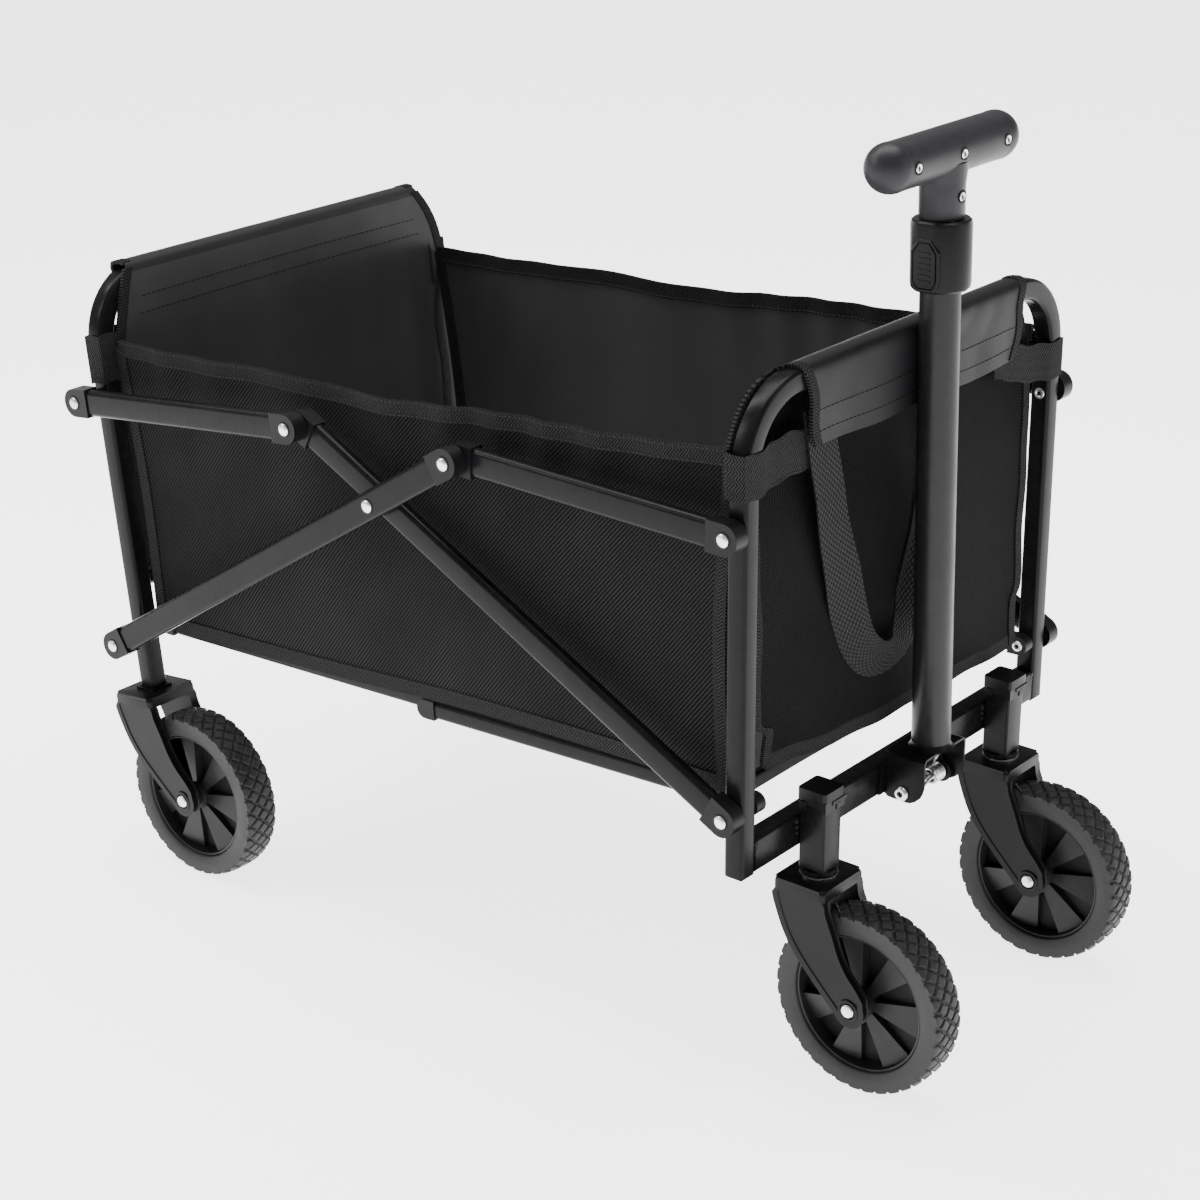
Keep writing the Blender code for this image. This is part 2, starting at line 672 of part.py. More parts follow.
def make_side_panels():
    """Each side's cloth, between the legs, from the floor's edge to its slanted top hem."""
    edge = TUBE / 2 + 0.0024
    rear_low = REAR_PIVOT + Vector((edge, 0.0150))
    rear_high = REAR_PIVOT + Vector((edge - math.tan(REAR_LEAN) * SIDE_TOP_REAR, SIDE_TOP_REAR))
    front_low = FRONT_PIVOT + Vector((-edge, 0.0080))
    front_high = FRONT_PIVOT + Vector((-edge - 0.0018, SIDE_TOP_FRONT))
    middle_low = (REAR_PIVOT + FRONT_PIVOT) / 2 + Vector((0.0, 0.0110))
    middle_high = (rear_high + front_high) / 2 - Vector((0.0, SIDE_SAG))
    outline = [rear_low, middle_low, front_low, front_high, middle_high, rear_high]
    for side, tag in ((-1, "near"), (1, "far")):
        low, high = sorted((side * (SIDE_Y - SIDE_T / 2), side * (SIDE_Y + SIDE_T / 2)))
        make_object("side_panel_" + tag, prism(outline, low, high), "cloth")


def make_corner_tabs(front_joint):
    """Cloth sleeves that hold the side panels' top corners on the legs."""
    inner = TUBE / 2 + 0.0004
    outer = inner + TAB_T
    for end, pivot, lean, low, high, parent in (
        ("rear", REAR_PIVOT, REAR_LEAN, 0.2515, 0.2860, None),
        ("front", FRONT_PIVOT, FRONT_LEAN, 0.2620, 0.2860, front_joint),
    ):
        for side, tag in ((-1, "near"), (1, "far")):
            origin = (pivot.x, side * LEG_Y, pivot.y)
            name = "corner_tab_" + end + "_" + tag
            bm = box(-outer, outer, -outer, outer, low, high)
            tab = make_object(name, bm, "webbing", origin, -lean, parent)
            hollow = box(-inner, inner, -inner, inner, low - 0.01, high + 0.01)
            cut(tab, helper(hollow, origin, -lean))


def make_strap(front_joint):
    """The webbing loop that hangs from under the front flap."""
    x0 = FRONT_PIVOT.x + 0.0044
    half = STRAP_W / 2
    centre = (STRAP_LEFT + STRAP_RIGHT) / 2
    radius = (STRAP_RIGHT - STRAP_LEFT) / 2
    outline = [(STRAP_LEFT - half, STRAP_TOP), (STRAP_LEFT + half, STRAP_TOP)]
    outline += arc(centre, STRAP_BEND, radius - half, 180, 360, 8)
    outline += [(STRAP_RIGHT - half, STRAP_TOP), (STRAP_RIGHT + half, STRAP_TOP)]
    outline += arc(centre, STRAP_BEND, radius + half, 0, -180, 8)
    bm = plate(outline, x0, x0 + CLOTH)
    make_object("front_strap", bm, "webbing", (0, 0, 0), 0.0, front_joint)


def make_bracket(front_joint):
    """The fixed ears on the cross tube, their bolt and the double return spring."""
    face = FRONT_PIVOT.x + TUBE / 2 + GAP
    px, pz = HANDLE_PIVOT
    low, high = pz - 0.0044, pz + 0.0208
    back = box(face, face + BRACKET_T, -BRACKET_HALF_W, BRACKET_HALF_W, low, high)
    bracket = make_object("handle_bracket", back, "frame", (0, 0, 0), 0.0, front_joint)
    ear = [(face, low), (px - 0.004, low - 0.0030)]
    ear += arc(px + 0.001, pz, EAR_R, -90, 60, 6)
    ear += [(px - 0.004, high), (face, high)]
    for side in (-1, 1):
        y0, y1 = sorted((side * BRACKET_IN, side * BRACKET_OUT))
        join(bracket, helper(prism(ear, y0, y1)))
    hole = rod(PIN_HOLE_R, -0.05, 0.05)
    cut(bracket, helper(hole, (px, 0, pz)))
    head = FOOT_OUT + GAP
    end = head + BOLT_HEAD_T
    bolt = [(0, -end), (BOLT_HEAD_R, -end), (BOLT_HEAD_R, -head), (PIN_R, -head)]
    bolt += [(PIN_R, head), (BOLT_HEAD_R, head), (BOLT_HEAD_R, end), (0, end)]
    center = (px, 0, pz)
    make_object("handle_bolt", lathe(bolt, 12, False), "steel", center, 0.0, front_joint)
    spring = pipe(SPRING_R, PIN_R + 0.0008, -BRACKET_IN + GAP, BRACKET_IN - GAP, 16, "Y")
    spring = make_object("handle_spring", spring, "steel", center, 0.0, front_joint)
    gap = box(-0.02, 0.02, -SPRING_GAP, SPRING_GAP, -0.02, 0.0060)
    cut(spring, helper(gap, center))


def make_handle(joints):
    """Pole with its foot, lock collar and button, inner tube and T-grip."""
    origin = (HANDLE_PIVOT.x, 0, HANDLE_PIVOT.y)
    turn = -HANDLE_LEAN
    tilt, slide, press = joints["tilt"], joints["extend"], joints["press"]

    def place(bm):
        bmesh.ops.translate(bm, verts=bm.verts, vec=(POLE_U, 0, 0))
        return bm

    pole = place(pipe(POLE_R, POLE_BORE_R, POLE_LOW - 0.001, POLE_HIGH))
    pole = make_object("outer_pole", pole, "frame", origin, turn, tilt)
    top = box(FOOT_BACK, FOOT_FRONT, -FOOT_OUT, FOOT_OUT, POLE_LOW - 0.002, POLE_LOW)
    join(pole, helper(top, origin, turn))
    ear = [(FOOT_BACK, POLE_LOW), (FOOT_BACK, -0.0040), (-0.0100, -0.0072), (0.0080, -0.0075)]
    ear += [(0.0175, -0.0010), (0.0215, 0.0090), (FOOT_FRONT, POLE_LOW)]
    for side in (-1, 1):
        y0, y1 = sorted((side * FOOT_IN, side * FOOT_OUT))
        join(pole, helper(prism(ear, y0, y1), origin, turn))
    cut(pole, helper(rod(PIN_HOLE_R, -0.05, 0.05), origin, turn))

    bore = POLE_R + GAP
    profile = [(COLLAR_R - 0.0015, COLLAR_LOW), (COLLAR_R, COLLAR_LOW + 0.0015)]
    profile += [(COLLAR_R, COLLAR_HIGH - 0.0030), (COLLAR_R - 0.0030, COLLAR_HIGH)]
    profile += [(INNER_R + 0.0004, COLLAR_HIGH), (INNER_R + 0.0004, POLE_HIGH + GAP)]
    profile += [(bore, POLE_HIGH + GAP), (bore, COLLAR_LOW)]
    collar = place(lathe(profile, 24, True, "Z"))
    collar = make_object("handle_collar", collar, "plastic", origin, turn, tilt)
    half_w, half_h = BUTTON_HALF_W + 0.0004, BUTTON_HALF_H + 0.0004
    for w, h, y0, y1, target in (
        (half_w, half_h, -0.04, -0.0192, None),
        (BUTTON_HALF_W, BUTTON_HALF_H, -0.0256, -0.0220, "lock_button"),
    ):
        shape = [(POLE_U - w, BUTTON_V - h), (POLE_U + w, BUTTON_V - h)]
        shape += [(POLE_U + w, BUTTON_V + h * 0.55), (POLE_U + w * 0.4, BUTTON_V + h)]
        shape += [(POLE_U - w * 0.4, BUTTON_V + h), (POLE_U - w, BUTTON_V + h * 0.55)]
        if target:
            make_object(target, prism(shape, y0, y1), "plastic", origin, turn, press)
        else:
            cut(collar, helper(prism(shape, y0, y1), origin, turn))

    inner = place(pipe(INNER_R, INNER_R - 0.0015, INNER_LOW, INNER_HIGH))
    make_object("inner_tube", inner, "tube", origin, turn, slide)

    grip = []
    for i in range(5):
        a = math.radians(22.5 * i)
        grip.append((GRIP_R * math.sin(a), -GRIP_HALF - GRIP_R * math.cos(a)))
    grip += [(r, -h) for r, h in reversed(grip)]
    bm = lathe(grip, 20, False)
    bmesh.ops.translate(bm, verts=bm.verts, vec=(POLE_U, 0, GRIP_V))
    grip = make_object("t_grip", bm, "plastic", origin, turn, slide)
    join(grip, helper(place(rod(GRIP_STEM_R, STEM_V, GRIP_V, 20, "Z")), origin, turn))
    pocket = place(rod(INNER_R + GAP, STEM_V - 0.01, INNER_HIGH + GAP, 20, "Z"))
    cut(grip, helper(pocket, origin, turn))


def main():
    clear_scene()
    mid = crossing()
    rear_up, front_up = upper_pivots()
    collar = HANDLE_PIVOT + Vector((-math.sin(HANDLE_LEAN), math.cos(HANDLE_LEAN))) * BUTTON_V
    joints = {
        "fold": joint_empty("axis_fold", REAR_PIVOT.x, 0, REAR_PIVOT.y),
        "cross": joint_empty("axis_cross", mid.x, 0, mid.y),
        "front": joint_empty("axis_front_frame", FRONT_PIVOT.x, 0, FRONT_PIVOT.y),
        "rear_upper": joint_empty("axis_rear_upper", rear_up.x, 0, rear_up.y),
        "front_upper": joint_empty("axis_front_upper", front_up.x, 0, front_up.y),
        "rear_floor": joint_empty("axis_rear_floor", REAR_PIVOT.x, 0, REAR_PIVOT.y),
        "front_floor": joint_empty("axis_front_floor", FRONT_PIVOT.x, 0, FRONT_PIVOT.y),
        "tilt": joint_empty("axis_handle", HANDLE_PIVOT.x, 0, HANDLE_PIVOT.y),
        "extend": joint_empty("axis_extend", collar.x, 0, collar.y),
        "press": joint_empty("axis_button", collar.x, 0, collar.y),
    }
    make_end_frames(joints["front"])
    make_cross_tubes(joints["front"])
    make_rear_wheels()
    make_casters(joints["front"])
    make_side_bars(joints)
    make_floor(joints)
    rear_offset = REAR_CROSS_X + REAR_CROSS_R + 0.0008
    end_panel("end_panel_rear", REAR_PIVOT, REAR_LEAN, 1, rear_offset)
    end_panel("end_panel_front", FRONT_PIVOT, FRONT_LEAN, -1, 0.0002, joints["front"])
    make_side_panels()
    make_corner_tabs(joints["front"])
    make_strap(joints["front"])
    make_bracket(joints["front"])
    make_handle(joints)


main()
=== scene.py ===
"""Looks of the folding wagon: tubes, moulded parts, wheels, cloth, handle, floor and light."""

import functools
import itertools
import math

import bmesh
import bpy
from mathutils import Matrix, Vector, noise


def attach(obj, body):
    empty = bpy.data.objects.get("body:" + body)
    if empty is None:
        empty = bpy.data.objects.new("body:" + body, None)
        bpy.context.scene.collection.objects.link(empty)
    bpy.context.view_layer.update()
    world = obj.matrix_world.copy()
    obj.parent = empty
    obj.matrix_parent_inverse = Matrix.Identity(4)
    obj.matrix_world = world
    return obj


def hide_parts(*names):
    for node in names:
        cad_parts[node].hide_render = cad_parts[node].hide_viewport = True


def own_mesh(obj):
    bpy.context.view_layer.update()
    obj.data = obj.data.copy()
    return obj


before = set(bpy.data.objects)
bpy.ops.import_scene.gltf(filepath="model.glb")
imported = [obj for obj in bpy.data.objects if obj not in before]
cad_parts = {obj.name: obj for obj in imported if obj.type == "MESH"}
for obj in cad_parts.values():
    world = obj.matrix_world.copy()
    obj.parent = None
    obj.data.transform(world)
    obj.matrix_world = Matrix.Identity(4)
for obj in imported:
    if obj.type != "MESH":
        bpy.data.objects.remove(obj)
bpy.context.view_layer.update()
SIDES = ((-1, "near"), (1, "far"))

# side plane, (x, z)
REAR = Vector((-0.4132, 0.2331))
FRONT = Vector((0.3060, 0.2667))
REAR_LEAN = math.radians(6.44)
FRONT_LEAN = math.radians(0.34)
UPPER_PIVOT = 0.2416
TUBE = 0.019
LEG_Y = 0.2281
HOOP_TOP = 0.349
BEND_R = 0.0625
FRONT_DROP = 0.0575
REAR_DROP = 0.0682
HALF_BAR = 0.415
BAR_SHARE = 1.26
INNER_LAYER = LEG_Y + TUBE / 2 + 0.010
OUTER_LAYER = INNER_LAYER + 0.0156
RIVET_OUT = 0.0077
WHEEL_R = 0.083
WHEEL_W = 0.036
RIM_R = 0.0625
FORK_H = 0.101
TRAIL = 0.053
ARM_IN = 0.0205
ARM_OUT = 0.0295
CASTER_X = 0.3285
CASTER_Y = 0.1455
SOCKET_TOP = 0.2575
HANDLE = Vector((0.3364, 0.2162))
HANDLE_LEAN = math.radians(1.65)
POLE_U = 0.0076
POLE_LOW = 0.0363
POLE_HIGH = 0.4560
COLLAR_LOW = 0.4412
COLLAR_HIGH = 0.4994
BUTTON_V = 0.4645
STEM_V = 0.4999
GRIP_V = 0.5529
GRIP_R = 0.0205
GRIP_HALF = 0.0767

# cloth and webbing
CLOTH = 0.0012
END_FOOT = 0.008
BOARD_WIDE = 0.377
FLOOR_WIDE = 0.378
STRAP_WIDE = 0.0375


# ---------------------------------------------------------------- materials


class Nodes:
    """Short names for making and linking shader nodes."""

    def __init__(self, name):
        self.mat = bpy.data.materials.new(name)
        self.mat.use_nodes = True
        self.tree = self.mat.node_tree
        self.shader = self.tree.nodes["Principled BSDF"]

    def give(self, slot, value):
        """Links an output into this input, or sets the input's value."""
        if isinstance(value, bpy.types.NodeSocket):
            self.tree.links.new(value, slot)
        else:
            slot.default_value = value

    def feed(self, node, **inputs):
        """Gives a node's inputs by name, with _ for each space."""
        for name, value in inputs.items():
            self.give(node.inputs[name.replace("_", " ")], value)

    def surface(self, **inputs):
        self.feed(self.shader, **inputs)

    def node(self, kind, settings=(), **inputs):
        made = self.tree.nodes.new("ShaderNode" + kind)
        for key, value in dict(settings).items():
            setattr(made, key, value)
        self.feed(made, **inputs)
        return made

    def math(self, operation, *values):
        made = self.node("Math", {"operation": operation})
        for slot, value in zip(made.inputs, values):
            self.give(slot, value)
        return made.outputs[0]

    def noise(self, coords, scale, detail=3.0, stretch=None):
        if stretch:
            coords = self.node("Mapping", Scale=stretch, Vector=coords).outputs[0]
        return self.node("TexNoise", Scale=scale, Detail=detail, Vector=coords).outputs["Fac"]

    def ramp(self, fac, low, high, dark=0.0, light=1.0):
        made = self.node("MapRange", From_Min=low, From_Max=high, To_Min=dark, To_Max=light, Value=fac)
        return made.outputs[0]

    def color(self, fac, dark, light):
        made = self.node("Mix", {"data_type": "RGBA"}, A=(*dark, 1.0), B=(*light, 1.0), Factor=fac)
        self.surface(Base_Color=made.outputs["Result"])

    def bump(self, *layers):
        """Stacks bumps, each of them (height, strength, distance)."""
        normal = None
        for height, strength, distance in layers:
            made = self.node("Bump", Strength=strength, Distance=distance, Height=height)
            if normal:
                self.feed(made, Normal=normal)
            normal = made.outputs[0]
        self.surface(Normal=normal)

    def rough(self, fac, low, high):
        self.surface(Roughness=self.ramp(fac, 0.3, 0.7, low, high))

    def object_coords(self):
        return self.node("TexCoord").outputs["Object"]

    def uv(self):
        place = self.node("UVMap", {"uv_map": "cloth"}).outputs[0]
        split = self.node("SeparateXYZ", Vector=place)
        return split.outputs[0], split.outputs[1]


def coated(name, dark, light, rough, grain, grain_size, worn=0.0, shine=0.20):
    """Powder coat or moulded plastic: fine grain, patchy gloss and lighter worn edges."""
    n = Nodes(name)
    place = n.object_coords()
    patches = n.noise(place, 14.0, 4.0)
    fine = n.noise(place, grain_size, 2.0)
    if worn:
        edge = n.ramp(n.node("NewGeometry").outputs["Pointiness"], 0.51, 0.60, 0.0, worn)
        scuffs = n.ramp(n.noise(place, 120.0, 4.0), 0.45, 0.65)
        patches = n.math("ADD", patches, n.math("MULTIPLY", edge, scuffs))
    n.color(n.ramp(patches, 0.3, 0.75), dark, light)
    n.surface(Specular_IOR_Level=shine)
    n.rough(n.noise(place, 30.0, 5.0), rough - 0.05, rough + 0.07)
    n.bump((fine, grain, 0.0004), (n.noise(place, 60.0, 2.0), 0.05, 0.0008))
    return n.mat


def metal(name, color, rough, streak):
    """Plated or polished metal with fine streaks and dull patches."""
    n = Nodes(name)
    place = n.object_coords()
    brushed = n.noise(place, 220.0, 3.0, streak)
    dull = tuple(0.62 * c for c in color)
    n.color(n.ramp(n.noise(place, 90.0, 4.0), 0.35, 0.7), color, dull)
    n.surface(Metallic=1.0)
    n.rough(brushed, rough - 0.06, rough + 0.12)
    n.bump((brushed, 0.12, 0.0002))
    return n.mat


def rubber(name, dark, light):
    """Dull tyre rubber with a little dust."""
    n = Nodes(name)
    place = n.object_coords()
    dust = n.noise(place, 45.0, 6.0)
    n.color(n.ramp(dust, 0.35, 0.75), dark, light)
    n.surface(Specular_IOR_Level=0.24)
    n.rough(dust, 0.46, 0.64)
    n.bump((n.noise(place, 900.0, 3.0), 0.25, 0.0003), (n.noise(place, 180.0, 2.0), 0.15, 0.0004))
    return n.mat


def sine(n, value, pitch):
    return n.math("SINE", n.math("MULTIPLY", value, 2 * math.pi / pitch))


def twill(name, dark, light, pitch):
    """Coarse polyester twill: diagonal ribs broken by the warp, with broad patches of painted sheen in its
    colour.
    """
    n = Nodes(name)
    u, v = n.uv()
    place = n.object_coords()
    ribs = sine(n, n.math("SUBTRACT", u, n.math("MULTIPLY", v, 0.9)), pitch)
    warp = sine(n, n.math("ADD", u, n.math("MULTIPLY", v, 0.5)), pitch * 0.55)
    weave = n.math("ADD", n.math("MULTIPLY", ribs, 0.90), n.math("MULTIPLY", warp, 0.10))
    # painted sheen: broad patches that dim and lift the twill's colour
    painted_sheen = n.ramp(n.noise(place, 7.0, 4.0), 0.35, 0.65, 0.45, 1.0)
    n.color(n.math("MULTIPLY", n.ramp(weave, -0.3, 0.9), painted_sheen), dark, light)
    n.surface(Roughness=0.8, Specular_IOR_Level=0.09)
    n.bump((weave, 0.55, 0.0005), (n.noise(place, 26.0, 3.0), 0.10, 0.004))
    return n.mat


def coated_cloth(name, dark, light, rough, shine):
    """The smooth coated face of the cloth, with a fine plain weave and soft creases; its colour is darker in
    the crease hollows, a painted shade.
    """
    n = Nodes(name)
    u, v = n.uv()
    place = n.object_coords()
    weave = n.math("MULTIPLY", sine(n, u, 0.0009), sine(n, v, 0.0009))
    crease_height_and_shade = n.noise(place, 9.0, 5.0, (1.0, 1.0, 0.45))
    # colour follows the crease height, darker in the hollows: painted shade
    n.color(n.ramp(crease_height_and_shade, 0.3, 0.75), dark, light)
    n.rough(n.noise(place, 16.0, 4.0), rough - 0.05, rough + 0.08)
    n.surface(Specular_IOR_Level=shine)
    n.bump((weave, 0.10, 0.0002), (crease_height_and_shade, 0.16, 0.006), (n.noise(place, 40.0, 3.0), 0.06, 0.002))
    return n.mat


def tape(name, dark, light, pitch, width):
    """Herringbone binding tape: diagonals that turn back in narrow rows."""
    n = Nodes(name)
    u, v = n.uv()
    fold = n.math("PINGPONG", v, width)
    ribs = sine(n, n.math("ADD", u, n.math("MULTIPLY", fold, 0.9)), pitch)
    fuzz = n.noise(n.object_coords(), 420.0, 3.0)
    both = n.math("ADD", ribs, n.math("MULTIPLY", fuzz, 0.9))
    n.color(n.ramp(both, -0.4, 1.5), dark, light)
    n.surface(Roughness=0.9, Specular_IOR_Level=0.15)
    n.bump((both, 0.8, 0.0005))
    return n.mat


def webbing(name, dark, light, across, along):
    """Heavy webbing: staggered oval floats in rows."""
    n = Nodes(name)
    u, v = n.uv()
    floats = n.math("MULTIPLY", sine(n, v, along), sine(n, u, across))
    n.color(n.ramp(floats, -0.5, 1.0), dark, light)
    n.surface(Roughness=0.70, Specular_IOR_Level=0.18)
    n.bump((floats, 0.9, 0.0008), (n.noise(n.object_coords(), 300.0, 2.0), 0.1, 0.0004))
    return n.mat


def grey(level, blue):
    """A grey with its own amount of blue."""
    return level, level, blue


# coated: roughness, grain, grain scale, wear at the edges, shine. coated_cloth: roughness, shine.
M = {
    "frame": coated("frame_coat", grey(0.0036, 0.0041), grey(0.0059, 0.0067), 0.26, 0.12, 900.0, 0.5, 0.088),
    # Painted light: the pole's coat is a lighter copy of the frame coat, kept lighter for how light falls on
    # the pole.
    "pole": coated("pole_coat_painted_light", grey(0.0068, 0.0076), grey(0.0105, 0.0118), 0.35, 0.14, 900.0, 0.5, 0.19),
    "plastic": coated(
        "moulded_black", grey(0.0045, 0.0051), grey(0.0072, 0.0081), 0.32, 0.26, 1100.0, 0.3, 0.11
    ),
    "grip": coated("grip_black", grey(0.0130, 0.0145), grey(0.0180, 0.0200), 0.40, 0.30, 1300.0, 0.3),
    "hub": coated("hub_plastic", grey(0.0095, 0.0104), grey(0.0145, 0.0158), 0.38, 0.25, 1000.0, 0.3),
    # Painted shade: a near-black fill set into rivet and bolt holes, the pole's hollow and the hub's
    # windows, where only shade falls.
    "painted_shade": coated("hub_painted_shade", grey(0.002, 0.002), grey(0.004, 0.004), 0.65, 0.25, 1000.0),
    "steel": metal("zinc_steel", grey(0.86, 0.88), 0.30, (1.0, 1.0, 6.0)),
    "tube": metal("inner_tube_chrome", grey(0.70, 0.72), 0.16, (1.0, 1.0, 0.1)),
    "rubber": rubber("tyre_rubber_black", grey(0.0125, 0.0132), grey(0.0250, 0.0263)),
    "outer": twill("twill_outside", grey(0.0002, 0.0003), grey(0.0250, 0.0273), 0.0040),
    "panel": twill("twill_front", grey(0.0002, 0.0003), grey(0.0050, 0.0057), 0.0034),
    # One coated inside face in four copies by where light falls: inner and inner_side_painted_fill are
    # lighter for the shaded inside (painted fill light), cover and flap are darker for the lit crest and
    # flap (painted shade).
    "inner": coated_cloth("cloth_inside_painted_fill", grey(0.0250, 0.0263), grey(0.0372, 0.0393), 0.50, 0.20),
    "over_painted_shade": coated_cloth("cloth_rear_cover_painted_shade", grey(0.0130, 0.0138), grey(0.0195, 0.0207), 0.48, 0.16),
    "inner_side_painted_fill": coated_cloth("cloth_inside_side_painted_fill", grey(0.0330, 0.0345), grey(0.0450, 0.0470), 0.50, 0.20),
    "flap": coated_cloth("cloth_flap_painted_shade", grey(0.0066, 0.0074), grey(0.0102, 0.0114), 0.44, 0.13),
    "tape": tape("binding_tape", grey(0.0004, 0.0005), grey(0.0270, 0.0290), 0.0030, 0.0048),
    "web": webbing("strap_webbing", grey(0.0004, 0.0005), grey(0.0210, 0.0230), 0.0064, 0.0044),
    "thread": coated("thread_black", grey(0.0008, 0.0008), grey(0.0015, 0.0015), 0.8, 0.5, 2500.0),
    "light_thread": coated("thread_grey", grey(0.018, 0.019), grey(0.026, 0.028), 0.7, 0.5, 2500.0),
}


# ---------------------------------------------------------------- geometry


def move(x, y, z):
    return Matrix.Translation((x, y, z))


def at(x, y, z, lean=0.0):
    """Local to world: lean tips +Z back towards -X."""
    return move(x, y, z) @ Matrix.Rotation(-lean, 4, "Y")


REAR_M = at(REAR.x, 0, REAR.y, REAR_LEAN)
FRONT_M = at(FRONT.x, 0, FRONT.y, FRONT_LEAN)
HANDLE_M = at(HANDLE.x, 0, HANDLE.y, HANDLE_LEAN)
POLE_M = HANDLE_M @ move(POLE_U, 0, 0)


class Piece:
    """Gathers shapes with their materials into one object."""

    def __init__(self, name, body, *replaced):
        self.name, self.body, self.replaced = name, body, replaced
        self.bm = bmesh.new()
        self.uv = self.bm.loops.layers.uv.new("cloth")
        self.mats = []

    def slot(self, key):
        if key not in self.mats:
            self.mats.append(key)
        return self.mats.index(key)

    def add(self, bm, key, matrix=None):
        """Adds a shape. key names its material, or one material for each of its own face numbers."""
        bmesh.ops.recalc_face_normals(bm, faces=bm.faces)
        source = bm.loops.layers.uv.get("cloth")
        made = {}
        for v in bm.verts:
            made[v] = self.bm.verts.new(matrix @ v.co if matrix else v.co)
        for f in bm.faces:
            new = self.bm.faces.new([made[v] for v in f.verts])
            new.material_index = self.slot(key if isinstance(key, str) else key[f.material_index])
            new.smooth = True
            if source:
                for a, b in zip(f.loops, new.loops):
                    b[self.uv].uv = a[source].uv
        bm.free()

    def ring(self, outline, key, matrix=None, steps=40, axis="Y"):
        """Adds a turned ring with this closed outline of (radius, height) points."""
        self.add(lathe(outline, steps, axis, True), key, matrix)

    def done(self, sharp=38):
        mesh = bpy.data.meshes.new(self.name)
        self.bm.to_mesh(mesh)
        self.bm.free()
        for key in self.mats:
            mesh.materials.append(M[key])
        mesh.set_sharp_from_angle(angle=math.radians(sharp))
        obj = bpy.data.objects.new(self.name, mesh)
        bpy.context.scene.collection.objects.link(obj)
        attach(obj, self.body)
        if self.replaced:
            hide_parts(*self.replaced)
        return obj


def bevel(bm, edges, width, segments):
    bmesh.ops.bevel(
        bm, geom=edges, offset=width, segments=segments, profile=0.5, affect="EDGES", clamp_overlap=True
    )


def soften(bm, width, segments=2, angle=35):
    """Rounds every edge sharper than the angle."""
    steep = math.radians(angle)
    edges = [e for e in bm.edges if len(e.link_faces) == 2 and e.calc_face_angle(0) > steep]
    bevel(bm, edges, width, segments)
    return bm


def loft(rings, closed=False):
    """Joins rings of points into a solid, closed in itself or capped at both ends."""
    bm = bmesh.new()
    made = [[bm.verts.new(p) for p in ring] for ring in rings]
    count = len(made[0])
    pairs = list(zip(made, made[1:]))
    if closed:
        pairs.append((made[-1], made[0]))
    for a, b in pairs:
        for i in range(count):
            j = (i + 1) % count
            bm.faces.new((a[i], a[j], b[j], b[i]))
    if not closed:
        bm.faces.new(made[0])
        bm.faces.new(list(reversed(made[-1])))
    return bm


def turns(steps):
    """The angles of one full turn."""
    return [2 * math.pi * i / steps for i in range(steps)]


def arc(cx, cz, radius, start, end, steps):
    points = []
    for i in range(steps + 1):
        a = math.radians(start + (end - start) * i / steps)
        points.append((cx + radius * math.cos(a), cz + radius * math.sin(a)))
    return points


def rounded(half_w, half_h, corner, steps=4):
    """A rectangle's outline with round corners."""
    points = []
    for cx, cz, start in ((1, 1, 0), (-1, 1, 90), (-1, -1, 180), (1, -1, 270)):
        points += arc(cx * (half_w - corner), cz * (half_h - corner), corner, start, start + 90, steps)
    return points


def mirrored(half):
    """A closed outline from its half: the same points back again at the opposite height."""
    return half + [(r, -h) for r, h in reversed(half)]


def span(side, a, b):
    """The stretch between two distances out on one side, in rising order."""
    return sorted((side * a, side * b))


def prism(points, y0, y1):
    return loft([[Vector((x, y, z)) for x, z in points] for y in (y0, y1)])


def column(points, z0, z1):
    return loft([[Vector((x, y, z)) for x, y in points] for z in (z0, z1)])


def box(x0, x1, y0, y1, z0, z1, edge):
    return soften(prism([(x0, z0), (x1, z0), (x1, z1), (x0, z1)], y0, y1), edge)


def lathe(profile, steps=48, axis="Y", closed=False):
    """Turns (radius, height) points about Y or Z."""
    bm = bmesh.new()
    rings = []
    for r, h in profile:
        spots = [(r * math.cos(a), h, r * math.sin(a)) for a in turns(steps)] if r else [(0, h, 0)]
        rings.append([bm.verts.new(spot) for spot in spots])
    pairs = list(zip(rings, rings[1:]))
    if closed:
        pairs.append((rings[-1], rings[0]))
    for a, b in pairs:
        for i in range(steps):
            j = (i + 1) % steps
            corners = [a[i % len(a)], a[j % len(a)], b[j % len(b)], b[i % len(b)]]
            kept = [v for k, v in enumerate(corners) if v not in corners[:k]]
            if len(kept) > 2:
                bm.faces.new(kept)
    if axis == "Z":
        bmesh.ops.rotate(bm, verts=bm.verts, matrix=Matrix.Rotation(math.pi / 2, 3, "X"))
    return bm


def rod(radius, low, high, steps=32):
    return lathe([(0, low), (radius, low), (radius, high), (0, high)], steps)


def wire(points, radius, sides=8):
    """A round wire along 3-D points."""
    rings = []
    side = None
    for i, p in enumerate(points):
        along = (points[min(i + 1, len(points) - 1)] - points[max(i - 1, 0)]).normalized()
        if side is None:
            side = along.orthogonal().normalized()
        side = (side - along * side.dot(along)).normalized()
        other = along.cross(side)
        rings.append([p + (side * math.cos(a) + other * math.sin(a)) * radius for a in turns(sides)])
    return loft(rings)


def smooth_line(points, steps):
    """Catmull-Rom through the points."""
    pts = [Vector(p) for p in points]
    found = []
    for i in range(len(pts) - 1):
        a, b, c, d = pts[max(i - 1, 0)], pts[i], pts[i + 1], pts[min(i + 2, len(pts) - 1)]
        for k in range(steps):
            t = k / steps
            square, cube = 2 * a - 5 * b + 4 * c - d, 3 * b - a - 3 * c + d
            found.append(0.5 * (2 * b + (c - a) * t + square * t * t + cube * t**3))
    return found + [pts[-1]]


def running(gaps):
    """The running total of the gaps between points, from 0."""
    return [0.0, *itertools.accumulate(gaps)]


